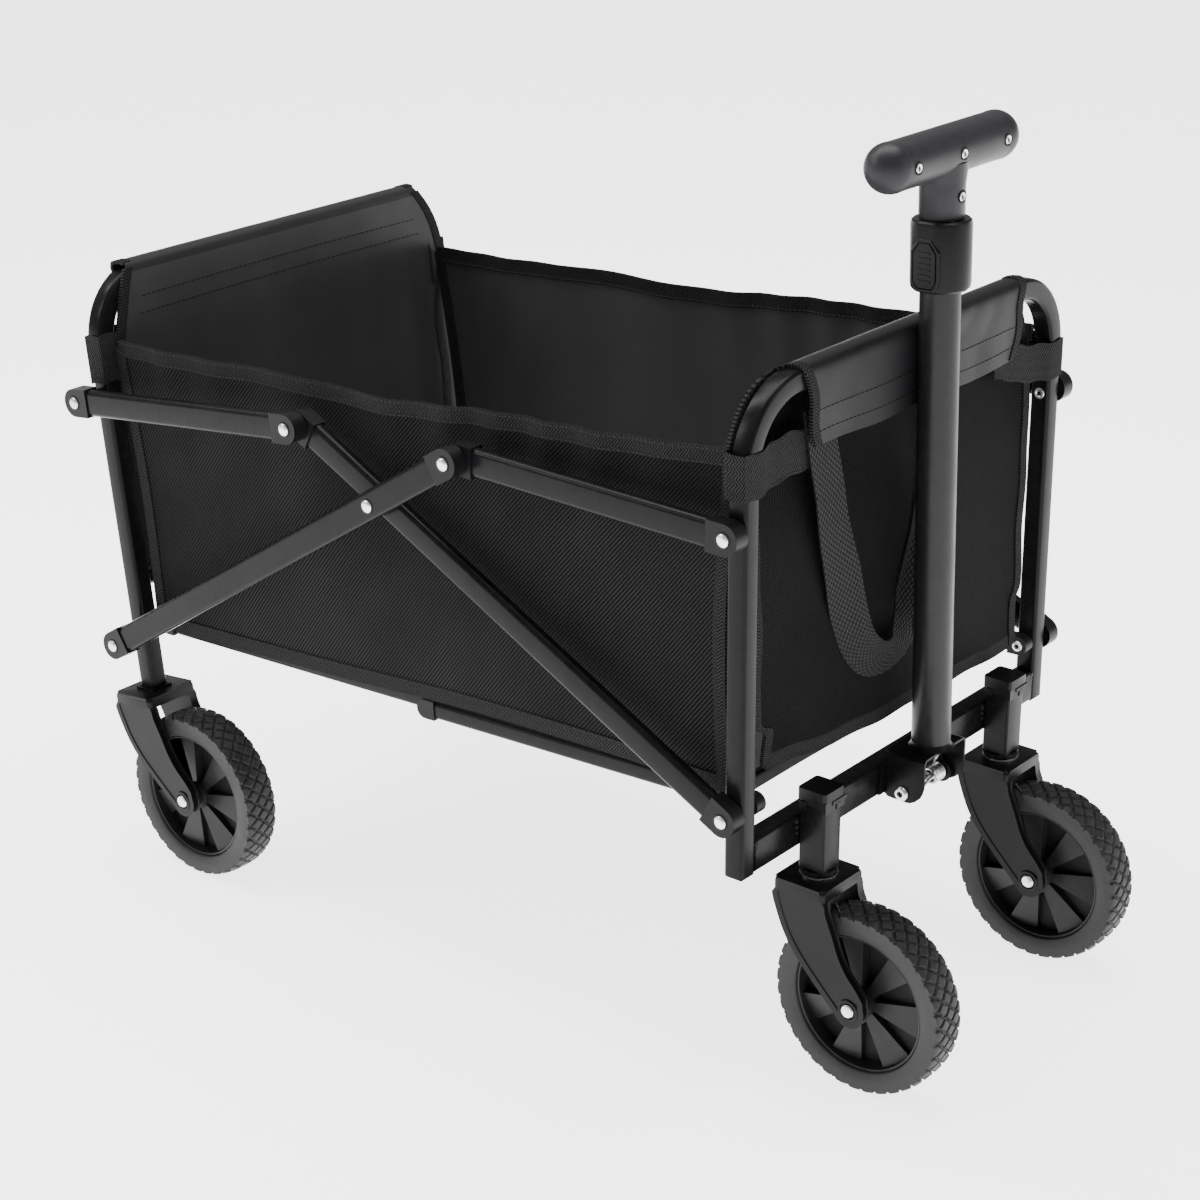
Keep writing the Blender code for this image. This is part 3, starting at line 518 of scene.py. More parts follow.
def locate(run, share):
    """The gap that holds this share of a run, and how far along the gap it is."""
    d = share * run[-1]
    i = next((k for k in range(1, len(run)) if run[k] >= d - 1e-9), len(run) - 1)
    return i, (d - run[i - 1]) / (run[i] - run[i - 1])


def sheet(point, nu, nv, thick, out, size):
    """A closed thin sheet. point(a, b) is its outer face for a, b in 0..1; out is its outward side.

    Faces are numbered 0 outside, 1 inside and 2 on the rim. size gives the cloth's metres per axis.
    """
    bm = bmesh.new()
    uv = bm.loops.layers.uv.new("cloth")
    front, back = [], []
    for j in range(nv + 1):
        for i in range(nu + 1):
            a, b = i / nu, j / nv
            p = point(a, b)
            da = point(min(a + 0.002, 1), b) - point(max(a - 0.002, 0), b)
            db = point(a, min(b + 0.002, 1)) - point(a, max(b - 0.002, 0))
            normal = da.cross(db).normalized()
            if normal.dot(out(a, b) if callable(out) else out) < 0:
                normal = -normal
            flat = (a * size[0], b * size[1])
            front.append((bm.verts.new(p), flat))
            back.append((bm.verts.new(p - normal * thick), flat))

    def face(corners, index):
        made = bm.faces.new([c[0] for c in corners])
        made.material_index = index
        for loop, corner in zip(made.loops, corners):
            loop[uv].uv = corner[1]

    row = nu + 1
    for j in range(nv):
        for i in range(nu):
            k = j * row + i
            face([front[k], front[k + 1], front[k + row + 1], front[k + row]], 0)
            face([back[k], back[k + row], back[k + row + 1], back[k + 1]], 1)
    rim = [j * row for j in range(nv + 1)] + [nv * row + i for i in range(1, row)]
    rim += [j * row + nu for j in range(nv - 1, -1, -1)] + list(range(nu - 1, 0, -1))
    for k, m in zip(rim, rim[1:] + rim[:1]):
        face([front[k], front[m], back[m], back[k]], 2)
    return bm


def ribbon(path, across, thick, out):
    """A tape along path(t) for t in 0..1, across gives its width and direction."""
    length = sum((path((i + 1) / 40) - path(i / 40)).length for i in range(40))
    steps = max(6, int(length / 0.006))
    return sheet(lambda a, b: path(a) + across * (b - 0.5), steps, 4, thick, out, (length, across.length))


def stitches(piece, path, length, key, pitch, stitch, side):
    """A row of short thread stitches lying on a seam."""
    count = int(length / pitch)
    for i in range(count):
        a, b = path((i + 0.15) / count), path((i + 0.15 + stitch / pitch) / count)
        along = (b - a).normalized()
        up = (side - along * side.dot(along)).normalized()
        flat = along.cross(up)
        rings = []
        for t, r in ((0.0, 0.00018), (0.2, 0.00042), (0.8, 0.00042), (1.0, 0.00018)):
            p = a.lerp(b, t)
            rings.append([p + up * r, p + flat * r, p - up * r * 0.3, p - flat * r])
        piece.add(loft(rings), key)


def ripple(x, z, seed, size):
    """Soft uneven waves for cloth."""
    return noise.noise(Vector((x * size, z * size, seed)))


def rivet(piece, x, z, y, side, matrix=Matrix()):
    """A domed rivet head with a dark seat, standing out on the side given."""
    r = 0.0056
    dome = [(0, 0.0021), (r * 0.5, 0.00185), (r * 0.82, 0.0013), (r, 0.0004), (r, -0.001), (0, -0.001)]
    seat = [(r + 0.0016, -0.001), (r + 0.0016, 0.0001), (r + 0.0008, 0.0004)]
    seat += [(r - 0.0002, 0.0001), (r - 0.0002, -0.001)]
    place = matrix @ move(x, y, z)
    piece.add(lathe([(r, side * h) for r, h in dome], 28), "steel", place)
    piece.ring([(r, side * h) for r, h in seat], "plastic", place, 28)


def tail(piece, x, z, y, side, matrix=Matrix()):
    """The hollow back of a tube rivet, with a dark rod in its hole as painted shade."""
    ring = [(0.0018, -0.002), (0.0018, 0.0006), (0.0030, 0.0013), (0.0046, 0.0010), (0.0052, 0.0)]
    ring += [(0.0052, -0.002)]
    place = matrix @ move(x, y, z)
    piece.ring([(r, side * h) for r, h in ring], "steel", place, 28)
    # dark rod in the hole: painted shade
    piece.add(rod(0.0019, -0.0012, 0.0, 16), "painted_shade", place)


# ---------------------------------------------------------------- frame


def sweep_hoop(drop):
    """The upside-down U of square tube, from its feet at -drop."""
    shoulder = HOOP_TOP - BEND_R
    half = [(-LEG_Y, -drop), (-LEG_Y, shoulder)]
    half += arc(-LEG_Y + BEND_R, shoulder, BEND_R, 180, 90, 16)[1:]
    path = half + [(-y, z) for y, z in reversed(half)]
    section = rounded(TUBE / 2, TUBE / 2, 0.0036)
    rings = []
    for i, (y, z) in enumerate(path):
        before, after = Vector(path[max(i - 1, 0)]), Vector(path[min(i + 1, len(path) - 1)])
        along = (after - before).normalized()
        normal = Vector((-along.y, along.x))
        rings.append([Vector((x, y + n * normal.x, z + n * normal.y)) for x, n in section])
    return loft(rings)


def make_hoops():
    inner_y, outer_y = LEG_Y - TUBE / 2, LEG_Y + TUBE / 2
    plug = 0.0078
    for end, matrix, drop, layer, pin_r, link_y in (
        ("rear", REAR_M, REAR_DROP, OUTER_LAYER, 0.0066, 0.1906),
        ("front", FRONT_M, FRONT_DROP, INNER_LAYER, 0.0042, 0.2043),
    ):
        piece = Piece("hoop_" + end, end + "_frame", end + "_hoop")
        piece.add(sweep_hoop(drop), "frame", matrix)
        head = layer + RIVET_OUT
        for side, _ in SIDES:
            for height in (0.0, UPPER_PIVOT):
                pin = rod(pin_r, *span(side, outer_y - 0.001, head - 0.002))
                piece.add(pin, "plastic", matrix @ move(0, 0, height))
                rivet(piece, 0, height, side * head, side, matrix)
            tail(piece, 0, UPPER_PIVOT, side * inner_y, -side, matrix)
            piece.add(rod(0.0040, *span(side, inner_y + 0.001, link_y - 0.001)), "steel", matrix)
            tail(piece, 0, 0.0, side * (link_y - 0.0006), -side, matrix)
            y0, y1 = side * LEG_Y - plug, side * LEG_Y + plug
            piece.add(box(-plug, plug, y0, y1, -drop - 0.0015, -drop + 0.004, 0.001), "plastic", matrix)
        piece.done()


def weld(piece, x, y, z, size=0.0035):
    """A short bead of weld, as a row of overlapping drops."""
    for i in range(3):
        bm = bmesh.new()
        bmesh.ops.create_icosphere(bm, subdivisions=2, radius=size * (1 - 0.12 * i))
        piece.add(bm, "frame", move(x, y, z - i * size * 1.5) @ Matrix.Diagonal((0.5, 1, 1, 1)))


def make_cross_tubes():
    half = LEG_Y - TUBE / 2 - 0.0003
    low = FRONT.y - FRONT_DROP
    piece = Piece("cross_tube_front", "front_frame", "front_cross_tube")
    tube = prism(rounded(TUBE / 2, 0.0149, 0.0028), -half, half)
    piece.add(tube, "frame", move(FRONT.x, 0, low + 0.0149))
    for side, _ in SIDES:
        for shift in (-0.0145, 0.0145):
            weld(piece, FRONT.x + 0.0098, side * CASTER_Y + shift, low + 0.0245)
        weld(piece, FRONT.x + 0.0085, side * (half - 0.001), low + 0.026, 0.0030)
    piece.done()
    piece = Piece("cross_tube_rear", "rear_frame", "rear_cross_tube")
    place = REAR_M @ move(-0.0062, 0, 0.052)
    piece.add(rod(0.0078, -half, half, 40), "frame", place)
    for side, _ in SIDES:
        ring = [(0.0074, half - 0.003), (0.0100, half - 0.001), (0.0102, half), (0.0074, half)]
        piece.ring([(r, side * h) for r, h in ring], "frame", place)
    piece.done()


# ---------------------------------------------------------------- side bars


def side_points():
    """The bars' middle pivot, upper pivots and knees on the side plane."""
    base = FRONT - REAR
    rise = math.sqrt(HALF_BAR**2 - (base.length / 2) ** 2)
    mid = (REAR + FRONT) / 2 + Vector((-base.y, base.x)).normalized() * rise
    rear_up = REAR + Vector((-math.sin(REAR_LEAN), math.cos(REAR_LEAN))) * UPPER_PIVOT
    front_up = FRONT + Vector((-math.sin(FRONT_LEAN), math.cos(FRONT_LEAN))) * UPPER_PIVOT
    return mid, rear_up, front_up, FRONT + (mid - FRONT) * BAR_SHARE, REAR + (mid - REAR) * BAR_SHARE


def bar(piece, start, end, y, height=0.025, thick=0.012, cap_r=0.0135, cap_t=0.015):
    """Oval tube from start to end with a moulded, softly rounded cap on each end."""
    run = (end - start).length
    place = at(start.x, y, start.y, math.atan2(end.y - start.y, end.x - start.x))
    section = rounded(thick / 2, height / 2, thick * 0.40, 5)
    rings = [[Vector((x, a, b)) for a, b in section] for x in (cap_r * 0.5, run - cap_r * 0.5)]
    piece.add(loft(rings), "frame", place)
    sleeve = cap_r * 1.26
    for x, first, inward in ((0.0, 90, 1), (run, -90, -1)):
        outline = arc(x, 0, cap_r, first, first + 180, 20)
        outline += [(x + inward * sleeve, -inward * cap_r), (x + inward * sleeve, inward * cap_r)]
        cap = soften(prism(outline, -cap_t / 2, cap_t / 2), min(0.0036, cap_t * 0.28), 4, 50)
        piece.add(cap, "plastic", place)


def make_side_bars():
    mid, rear_up, front_up, knee_rear, knee_front = side_points()
    for side, tag in SIDES:
        outer, inner = side * OUTER_LAYER, side * INNER_LAYER
        for kind, end, start, knee, y in (
            ("diagonal", "rear", REAR, knee_front, outer),
            ("diagonal", "front", FRONT, knee_rear, inner),
            ("upper_bar", "rear", rear_up, knee_rear, outer),
            ("upper_bar", "front", front_up, knee_front, inner),
        ):
            node = "%s_%s_%s" % (end, kind, tag)
            piece = Piece("%s_%s_%s" % (kind, end, tag), "%s_%ss" % (end, kind), node)
            bar(piece, start, knee, y)
            if start is REAR:
                rivet(piece, mid.x, mid.y, y + side * 0.0062, side)
                tail(piece, mid.x, mid.y, inner - side * 0.0066, -side)
            if end == "rear":
                rivet(piece, knee.x, knee.y, y + side * RIVET_OUT, side)
            piece.done()


# ---------------------------------------------------------------- floor


def on_floor(spot):
    """The sloping floor's frame, with its origin at an (x, z) spot."""
    slope = (FRONT - REAR).normalized()
    return at(spot.x, 0, spot.y, math.atan2(slope.y, slope.x))


def make_floor_bars():
    middle = (REAR + FRONT) / 2
    for side, tag in SIDES:
        for end, pivot, y in (("rear", REAR, 0.1975), ("front", FRONT, 0.2105)):
            piece = Piece("floor_bar_%s_%s" % (end, tag), end + "_floor", "%s_floor_link_%s" % (end, tag))
            bar(piece, pivot, middle, side * y, 0.016, 0.0095, 0.009, 0.012)
            piece.done()


def make_floor_boards():
    up = Vector((0, 0, 1))
    for end, pivot, sign in (("rear", REAR, 1), ("front", FRONT, -1)):
        piece = Piece("floor_panel_" + end, end + "_floor", end + "_floor_board")
        place = on_floor(pivot)
        x0, x1 = span(sign, 0.036, 0.300)

        def top(a, b):
            x, y = x0 + (x1 - x0) * a, -BOARD_WIDE / 2 + BOARD_WIDE * b
            edge = min(a, 1 - a, b, 1 - b) * 0.26
            puff = 0.0010 * min(1.0, edge / 0.01) + 0.0006 * ripple(x, y, 3.0, 14)
            return place @ Vector((x, y, 0.0016 + puff))

        def seam(t, y):
            return place @ Vector((x0 + 0.01 + (x1 - x0 - 0.02) * t, y, 0.0031))

        board = sheet(top, 36, 36, 0.0042, up, (x1 - x0, BOARD_WIDE))
        # top face: the lighter inside copy of the coated cloth, painted fill light for the shaded inside
        piece.add(board, ("inner", "outer", "tape"))
        for y in (-0.178, 0.178):
            line = functools.partial(seam, y=y)
            stitches(piece, line, x1 - x0, "light_thread", 0.006, 0.0036, up)
        piece.done()


def make_floor_cloth():
    down = Vector((0, 0, -1))
    middle = (REAR + FRONT) / 2
    piece = Piece("cloth_under_floor", "rear_frame", "floor_cloth")
    place = on_floor(middle)
    reach = (middle - REAR).length - 0.022

    def under(a, b):
        x, y = -reach + 2 * reach * a, -FLOOR_WIDE / 2 + FLOOR_WIDE * b
        return place @ Vector((x, y, -0.0050 - 0.0008 * (1 + ripple(x, y, 9.0, 10))))

    def seam(t, x):
        return place @ Vector((x, -0.185 + 0.37 * t, -0.0062))

    cloth = sheet(under, 80, 40, 0.0009, down, (2 * reach, FLOOR_WIDE))
    # upper face: the lighter inside copy of the coated cloth, painted fill light for the shaded inside
    piece.add(cloth, ("outer", "inner", "tape"))
    for x in (-0.12, 0.0, 0.12):
        stitches(piece, functools.partial(seam, x=x), 0.37, "light_thread", 0.006, 0.0036, down)
    obj = piece.done()
    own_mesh(obj)


# ---------------------------------------------------------------- wheels


def tread_height(s, y, pitch):
    """Depth of the grooves that cross into rounded diamond blocks."""
    deep = 0.0
    for sign in (1, -1):
        line = abs(((s + sign * 0.92 * y) / pitch) % 1.0 - 0.5) * pitch / 1.36
        edge = min(1.0, max(0.0, (line - 0.0007) / 0.0008))
        deep = max(deep, 1 - edge * edge * (3 - 2 * edge))
    return deep


@functools.cache
def tyre_source():
    """The tyre's mesh about the origin, made once for all four wheels."""
    steps, half = 640, WHEEL_W / 2
    lap = 2 * math.pi * WHEEL_R
    pitch = lap / 36
    rows = [-half + WHEEL_W * i / 44 for i in range(45)]
    rings = []
    for i, a in enumerate(turns(steps)):
        s = lap * i / steps
        wave = 0.0010 * (1 + math.sin(2 * math.pi * s / pitch + 0.7 * math.sin(4 * math.pi * s / pitch)))
        wall = [(RIM_R, 0.0022), (RIM_R + 0.0012, 0.0010), (WHEEL_R - 0.0085, 0.0004)]
        wall += [(WHEEL_R - 0.0055 - wave, 0.0003)]
        ring = [(r, -half + inset) for r, inset in wall]
        for y in rows:
            crown = 0.0026 * abs(y / half) ** 4
            fade = 1.0 if abs(y) < half - 0.001 else 0.8
            ring.append((WHEEL_R - crown - 0.0021 * fade * tread_height(s, y, pitch), y))
        ring += [(r, half - inset) for r, inset in reversed(wall)]
        rings.append([(r * math.cos(a), y, r * math.sin(a)) for r, y in ring])
    mesh = bpy.data.meshes.new("tyre_source")
    bm = loft(rings, True)
    bm.to_mesh(mesh)
    bm.free()
    return mesh


def add_hub(piece, place):
    """Rim, seven wedge blades with a side wall, a collared boss, and a near-black web in the windows between
    the blades as painted shade.
    """
    rim, blades = RIM_R - 0.0003, 7
    ring = [(rim - 0.0030, -0.006), (rim - 0.0022, -0.0142), (rim - 0.0010, -0.0148), (rim, -0.0142)]
    piece.ring(mirrored(ring), "hub", place, 96)
    # near-black web in the windows between the blades: painted shade
    piece.ring(mirrored([(0.0045, -0.0010), (rim - 0.002, -0.0010)]), "painted_shade", place, 64)
    boss = [(0.0045, -0.0190), (0.0098, -0.0190), (0.0104, -0.0184), (0.0104, -0.0140)]
    boss += [(0.0128, -0.0134), (0.0134, -0.0120)]
    piece.ring(mirrored(boss), "hub", place, 64)
    for i in range(blades):
        middle = 360.0 * i / blades
        blade = arc(0, 0, rim - 0.0030, middle - 13.5, middle + 12.5, 8)
        blade += arc(0, 0, 0.0118, middle + 16.0, middle - 18.0, 4)
        bm = prism(blade, -0.0105, 0.0105)
        for v in bm.verts:
            turn = math.degrees(math.atan2(v.co.z, v.co.x)) - middle
            turn = (turn + 180) % 360 - 180
            v.co.y *= 1.0 - 0.022 * max(0.0, turn + 14.0) * math.hypot(v.co.x, v.co.z) / rim
        piece.add(soften(bm, 0.0006, 2, 40), "hub", place)


def make_wheel(tag, body, center):
    piece = Piece("tyre_tread_" + tag, body, "tyre_" + tag)
    bm = bmesh.new()
    bm.from_mesh(tyre_source())
    piece.add(bm, "rubber", move(*center))
    piece.done(50)
    piece = Piece("wheel_hub_" + tag, body, "hub_" + tag)
    add_hub(piece, move(*center))
    piece.done(30)


def arm_outline():
    """The fork arm, forward of the stem and up from the crown's top: back edge, tip and front edge."""
    back = [(-0.0248, 0.0), (-0.0252, 0.012), (-0.0222, 0.024), (-0.0125, 0.047)]
    back += [(0.0005, 0.066), (0.0185, 0.085), (0.0415, 0.1075)]
    front = [(0.0652, 0.0900), (0.0590, 0.0815), (0.0482, 0.0695), (0.0400, 0.0561)]
    front += [(0.0336, 0.0400), (0.0285, 0.0279), (0.0248, 0.0169), (0.0246, 0.0)]
    tip = [Vector(p) for p in arc(TRAIL, FORK_H, 0.0138, 120, -20, 18)]
    edge = smooth_line(back, 5)[:-1] + tip + smooth_line(front, 5)
    lower = [(p.x, -p.y) for p in edge if p.y > 0.0095]
    return [(-0.0205, -0.0050)] + lower + [(0.0205, -0.0050)]


def fork_arm(side):
    """One arm with a raised border on its outer face and rounded rims."""
    bm = prism(arm_outline(), *span(side, ARM_IN, ARM_OUT))
    bmesh.ops.remove_doubles(bm, verts=bm.verts, dist=0.0004)
    outer = max(bm.faces, key=lambda f: side * f.calc_center_median().y)
    bmesh.ops.inset_region(bm, faces=[outer], thickness=0.0033, depth=0.0)
    bmesh.ops.inset_region(bm, faces=[outer], thickness=0.0012, depth=-0.0009)
    bm.normal_update()

    def on_rim(v):
        return v.co.z < -0.0092 and min(abs(abs(v.co.y) - y) for y in (ARM_IN, ARM_OUT)) < 1e-5

    steep = math.radians(60)
    rims = [e for e in bm.edges if all(map(on_rim, e.verts)) and len(e.link_faces) == 2]
    bevel(bm, [e for e in rims if e.calc_face_angle(0) > steep], 0.0028, 4)
    return bm


def make_fork(tag, body, top, lean, socket):
    place = at(*top, lean)
    piece = Piece("fork_moulding_" + tag, body, "fork_" + tag)
    slab = column(rounded(0.0258, ARM_OUT + 0.0002, 0.0045, 6), -0.0100, 0.0)
    bevel(slab, [e for e in slab.edges if all(v.co.z > -1e-6 for v in e.verts)], 0.0042, 6)
    piece.add(slab, "plastic", place @ move(-0.0002, 0, 0))
    inset = ARM_IN + 0.0010
    piece.add(box(-0.0215, 0.0120, -inset, inset, -0.0160, -0.0080, 0.0025), "plastic", place)
    for side, _ in SIDES:
        piece.add(fork_arm(side), "plastic", place)
        mark = at(-0.007, side * (ARM_OUT - 0.0013), -0.024, 0.5)
        piece.add(box(-0.0055, 0.0055, -0.0005, 0.0005, -0.0008, 0.0008, 0.0003), "plastic", place @ mark)
        boss = [(0.0046, -0.0015), (0.0102, -0.0020), (0.0102, 0.0), (0.0094, 0.0006), (0.0076, 0.0006)]
        boss += [(0.0068, -0.0006), (0.0046, -0.0006)]
        piece.ring([(r, side * (ARM_OUT + h)) for r, h in boss], "plastic", place @ move(TRAIL, 0, -FORK_H))
    if socket:
        ring = [(0.0080, -0.002), (0.0168, -0.002), (0.0172, 0.0), (0.0165, 0.0006), (0.0080, 0.0006)]
        piece.ring(ring, "plastic", place @ move(0, 0, -0.0007), 40, "Z")
    else:
        half = TUBE / 2 + 0.0004
        wide = half + 0.0022
        for x0, x1, y0, y1 in (
            (half, wide, -wide, wide),
            (-wide, -half, -wide, wide),
            (-half, half, half, wide),
            (-half, half, -wide, -half),
        ):
            piece.add(box(x0, x1, y0, y1, -0.004, 0.0022, 0.0006), "plastic", place)
    piece.done(30)


def make_axle(tag, body, center):
    piece = Piece("axle_pin_" + tag, body, "axle_" + tag)
    place = move(*center)
    piece.add(rod(0.0040, -ARM_OUT - 0.001, ARM_OUT + 0.001), "steel", place)
    dome = [(0, 0.0026), (0.0032, 0.0024), (0.0052, 0.0017), (0.0060, 0.0006), (0.0060, 0.0001), (0, 0.0001)]
    piece.add(lathe([(r, -(ARM_OUT + 0.0001 + h)) for r, h in dome], 32), "steel", place)
    ring = [(0.0020, -0.0006), (0.0020, 0.0012), (0.0034, 0.0021), (0.0052, 0.0016), (0.0060, 0.0002)]
    ring += [(0.0060, -0.0006)]
    piece.ring([(r, ARM_OUT + h) for r, h in ring], "steel", place, 32)
    piece.done(30)


def make_wheels():
    down = Vector((math.sin(REAR_LEAN), -math.cos(REAR_LEAN)))
    forward = Vector((math.cos(REAR_LEAN), math.sin(REAR_LEAN)))
    drop = (REAR.y - WHEEL_R + TRAIL * forward.y) / math.cos(REAR_LEAN) - FORK_H
    top = REAR + down * drop
    axle = top + down * FORK_H + forward * TRAIL
    crown = WHEEL_R + FORK_H
    for side, tag in SIDES:
        leg, caster = side * LEG_Y, side * CASTER_Y
        hung = (
            ("rear_", "rear_frame", (top.x, leg, top.y), REAR_LEAN, (axle.x, leg, axle.y)),
            ("front_", "caster_" + tag, (CASTER_X, caster, crown), 0.0, (CASTER_X + TRAIL, caster, WHEEL_R)),
        )
        for end, body, fork_top, lean, center in hung:
            make_fork(end + tag, body, fork_top, lean, end == "front_")
            make_axle(end + tag, body, center)
            make_wheel(end + tag, end + "wheel_" + tag, center)
        make_socket(tag, caster, crown)


def make_socket(tag, y, crown):
    place = move(CASTER_X, y, 0)
    lid_place = move(CASTER_X, y, SOCKET_TOP)
    piece = Piece("socket_tube_" + tag, "front_frame", "caster_socket_" + tag)
    tube = column(rounded(0.0127, 0.0127, 0.0022), crown + 0.0052, SOCKET_TOP - 0.001)
    piece.add(tube, "frame", place)
    foot = [(0.0070, 0.0024), (0.0152, 0.0024), (0.0160, 0.0032), (0.0160, 0.0056), (0.0150, 0.0066)]
    foot += [(0.0070, 0.0066)]
    piece.ring([(r, crown + h) for r, h in foot], "plastic", place, 48, "Z")
    piece.done()
    piece = Piece("socket_lid_" + tag, "front_frame", "socket_cap_" + tag)
    lid = column(rounded(0.0143, 0.0143, 0.0030), -0.0030, 0.0072)
    piece.add(soften(lid, 0.0012, 3, 60), "plastic", lid_place)
    clips = [
        (0.0120, 0.0144, -0.0138, 0.0138, -0.0110, -0.0010, 0.0005),
        (0.0138, 0.0152, -0.0040, 0.0158, -0.0052, -0.0022, 0.0005),
        (0.0138, 0.0152, 0.0015, 0.0062, -0.0108, -0.0046, 0.0005),
    ]
    for flank, _ in SIDES:
        clips.append((-0.0060, 0.0138, *span(flank, 0.0120, 0.0144), -0.0072, -0.0010, 0.0005))
        clips.append((-0.0120, -0.0040, *span(flank, 0.0136, 0.0151), -0.0105, -0.0040, 0.0006))
    for clip in clips:
        piece.add(box(*clip), "plastic", lid_place)
    piece.done()


# ---------------------------------------------------------------- cloth


def smooth_step(t):
    t = min(1.0, max(0.0, t))
    return t * t * (3 - 2 * t)


def end_reach(v, low, wide, crest, bend, notch):
    """Half width of the end cloth at height v: low on the legs, wide at the bend, crest at the top.

    With a bend radius the edge follows the hoop's bend instead of cutting the corner. Below the
    notch height it is narrow enough for the floor bars to fold up past it.
    """
    middle = HOOP_TOP - BEND_R
    if bend and v > middle:
        return max(crest, LEG_Y - BEND_R + math.sqrt(max(0.0, bend**2 - (v - middle) ** 2)))
    start, top = HOOP_TOP - BEND_R - 0.004, HOOP_TOP + 0.0095
    if v <= start:
        rise = 0.035 if bend else 0.06
        full = low + (wide - low) * smooth_step((v - start + rise) / rise)
        return notch + (full - notch) * smooth_step((v - 0.052) / 0.012)
    t = min(1.0, (v - start) / (top - start))
    return crest + (wide - crest) * (1 - t**1.7)


def end_path(inward, offset, drop):
    """The end cloth's cross-section as (u, v): up the inside, over the crest, down the flap."""
    r = TUBE / 2 + 0.0022
    top = HOOP_TOP
    line = [(offset, END_FOOT), (offset, 0.10), (offset + 0.0005, 0.18), (offset + 0.002, 0.225)]
    line += [(r - 0.001, 0.285), (r, 0.315), (r, top + r * 0.35), (r * 0.72, top + r * 0.86), (0.0, top + r)]
    line += [(-r * 0.72, top + r * 0.88), (-r, top + r * 0.40), (-r - 0.0008, top - 0.012)]
    line += [(-r - 0.0012, top - drop)]
    return [(inward * u, v) for u, v in smooth_line(line, 6)]


def make_end(end, matrix, inward, offset, reaches, notch, flap_half, drop, skin, over_painted_shade):
    """reaches holds end_reach's four sizes for the near and the far edge."""
    path = end_path(inward, offset, drop)
    run = running(math.hypot(b[0] - a[0], b[1] - a[1]) for a, b in zip(path, path[1:]))
    total = run[-1]
    crest_t = run[max(range(len(path)), key=lambda i: path[i][1])] / total

    def aim(x, y=0, z=0):
        return matrix.to_3x3() @ Vector((x, y, z))

    def on_path(t):
        i, f = locate(run, t)
        (u0, v0), (u1, v1) = path[i - 1], path[i]
        return u0 + (u1 - u0) * f, v0 + (v1 - v0) * f

    def half_width(t, far):
        low, wide, crest, bend = reaches[far]
        if t < crest_t:
            _, v = on_path(t)
            w = end_reach(v, low, wide, crest, bend, notch)
            rise = min(1.0, max(0.0, (v - END_FOOT) / 0.22))
            pull = 0.0 if inward > 0 and far else 0.0040
            return w - pull * math.sin(math.pi * rise) + 0.0012 * math.sin(v * 75 + 2 * far)
        down = (t - crest_t) / (1 - crest_t)
        wavy = 0.0022 * math.sin(down * 9.0 + 0.6 + far)
        return crest + (flap_half - crest) * down + wavy

    def point(a, t):
        u, v = on_path(t)
        y = (2 * a - 1) * half_width(t, a > 0.5)
        if t < crest_t:
            calm = min(1.0, max(0.0, (0.27 - v) / 0.08)) * (1 - abs(2 * a - 1) ** 6)
            soft = 0.0022 * ripple(y, v, 5.0 if inward > 0 else 8.0, 7) * calm
            if inward > 0:
                clear = smooth_step((y - 0.185) / 0.025) * smooth_step((v - 0.064) / 0.03)
                u += max(0.0, 0.0108 - u) * clear
                lift = -0.002
            else:
                lift = 0.0220 * max(0.0, (0.02 - y) / 0.226) ** 2 - 0.0040 * max(0.0, y / 0.2)
            v += (lift + 0.0012 * math.sin(y * 70)) * max(0.0, 1 - t / 0.16) ** 1.5
        else:
            soft = 0.0009 * ripple(y, v, 2.0, 22)
            v += 0.0014 * math.sin(y * 46 + 1.0) * max(0.0, (t - crest_t) / (1 - crest_t)) ** 2
        return matrix @ Vector((u - inward * abs(soft), y, v))

    def out(_, t):
        if abs(t - crest_t) < 0.03:
            return aim(0, 0, 1)
        return aim(inward if t < crest_t else -inward, 0, 0.2)

    piece = Piece("end_cloth_" + end, end + "_frame", "end_panel_" + end)
    bm = sheet(point, 90, 110, CLOTH, out, (0.43, total))
    layer = bm.loops.layers.uv["cloth"]
    # Past the crest the coated face takes the darker copy (cover or flap) where it is lit from above,
    # painted shade; the face under it and the inside take the lighter inner copy, painted fill light.
    for f in bm.faces:
        t = sum(loop[layer].uv.y for loop in f.loops) / len(f.loops) / total
        if f.material_index < 2 and t > crest_t - 0.04:
            f.material_index += 3
    piece.add(bm, ("inner", skin, "tape", over_painted_shade, "inner"))

    def edge_tape(side, t0, t1, width):
        def path_at(t):
            t = t0 + (t1 - t0) * t
            a = 0.5 + side * 0.5 * (1 - width * 0.35 / half_width(t, side > 0))
            return point(a, t) + out(a, t).normalized() * 0.0009

        def facing(a, _):
            return out(0.5, t0 + (t1 - t0) * a)

        return ribbon(path_at, aim(0, side * width), 0.0034, facing)

    for side, _ in SIDES:
        piece.add(edge_tape(side, 0.002, crest_t - 0.035, 0.0105), "tape")
        piece.add(edge_tape(side, crest_t - 0.02, 0.999, 0.0095), "tape")

    def hem(t):
        return point(0.01 + 0.98 * t, 0.012) + aim(-inward * 0.0014)

    piece.add(ribbon(hem, aim(0, 0, 0.013), 0.0030, aim(-inward)), "tape")

    def flap_seam(x, t):
        return point(0.02 + 0.96 * x, t) + aim(-inward) * 0.0002

    def inner_seam(x, t):
        return point(0.06 + 0.88 * x, t + 0.004 * math.sin(x * 3)) + aim(inward) * 0.0002

    for down in (0.012, 0.030):
        t = 1 - down / total
        line = functools.partial(flap_seam, t=t)
        stitches(piece, line, 2 * half_width(t, True), "thread", 0.0062, 0.0046, aim(-inward))
    for down in (0.044, 0.060):
        line = functools.partial(inner_seam, t=crest_t - down / total)
        stitches(piece, line, 0.36, "thread", 0.0062, 0.0046, aim(inward))
    obj = piece.done(60)


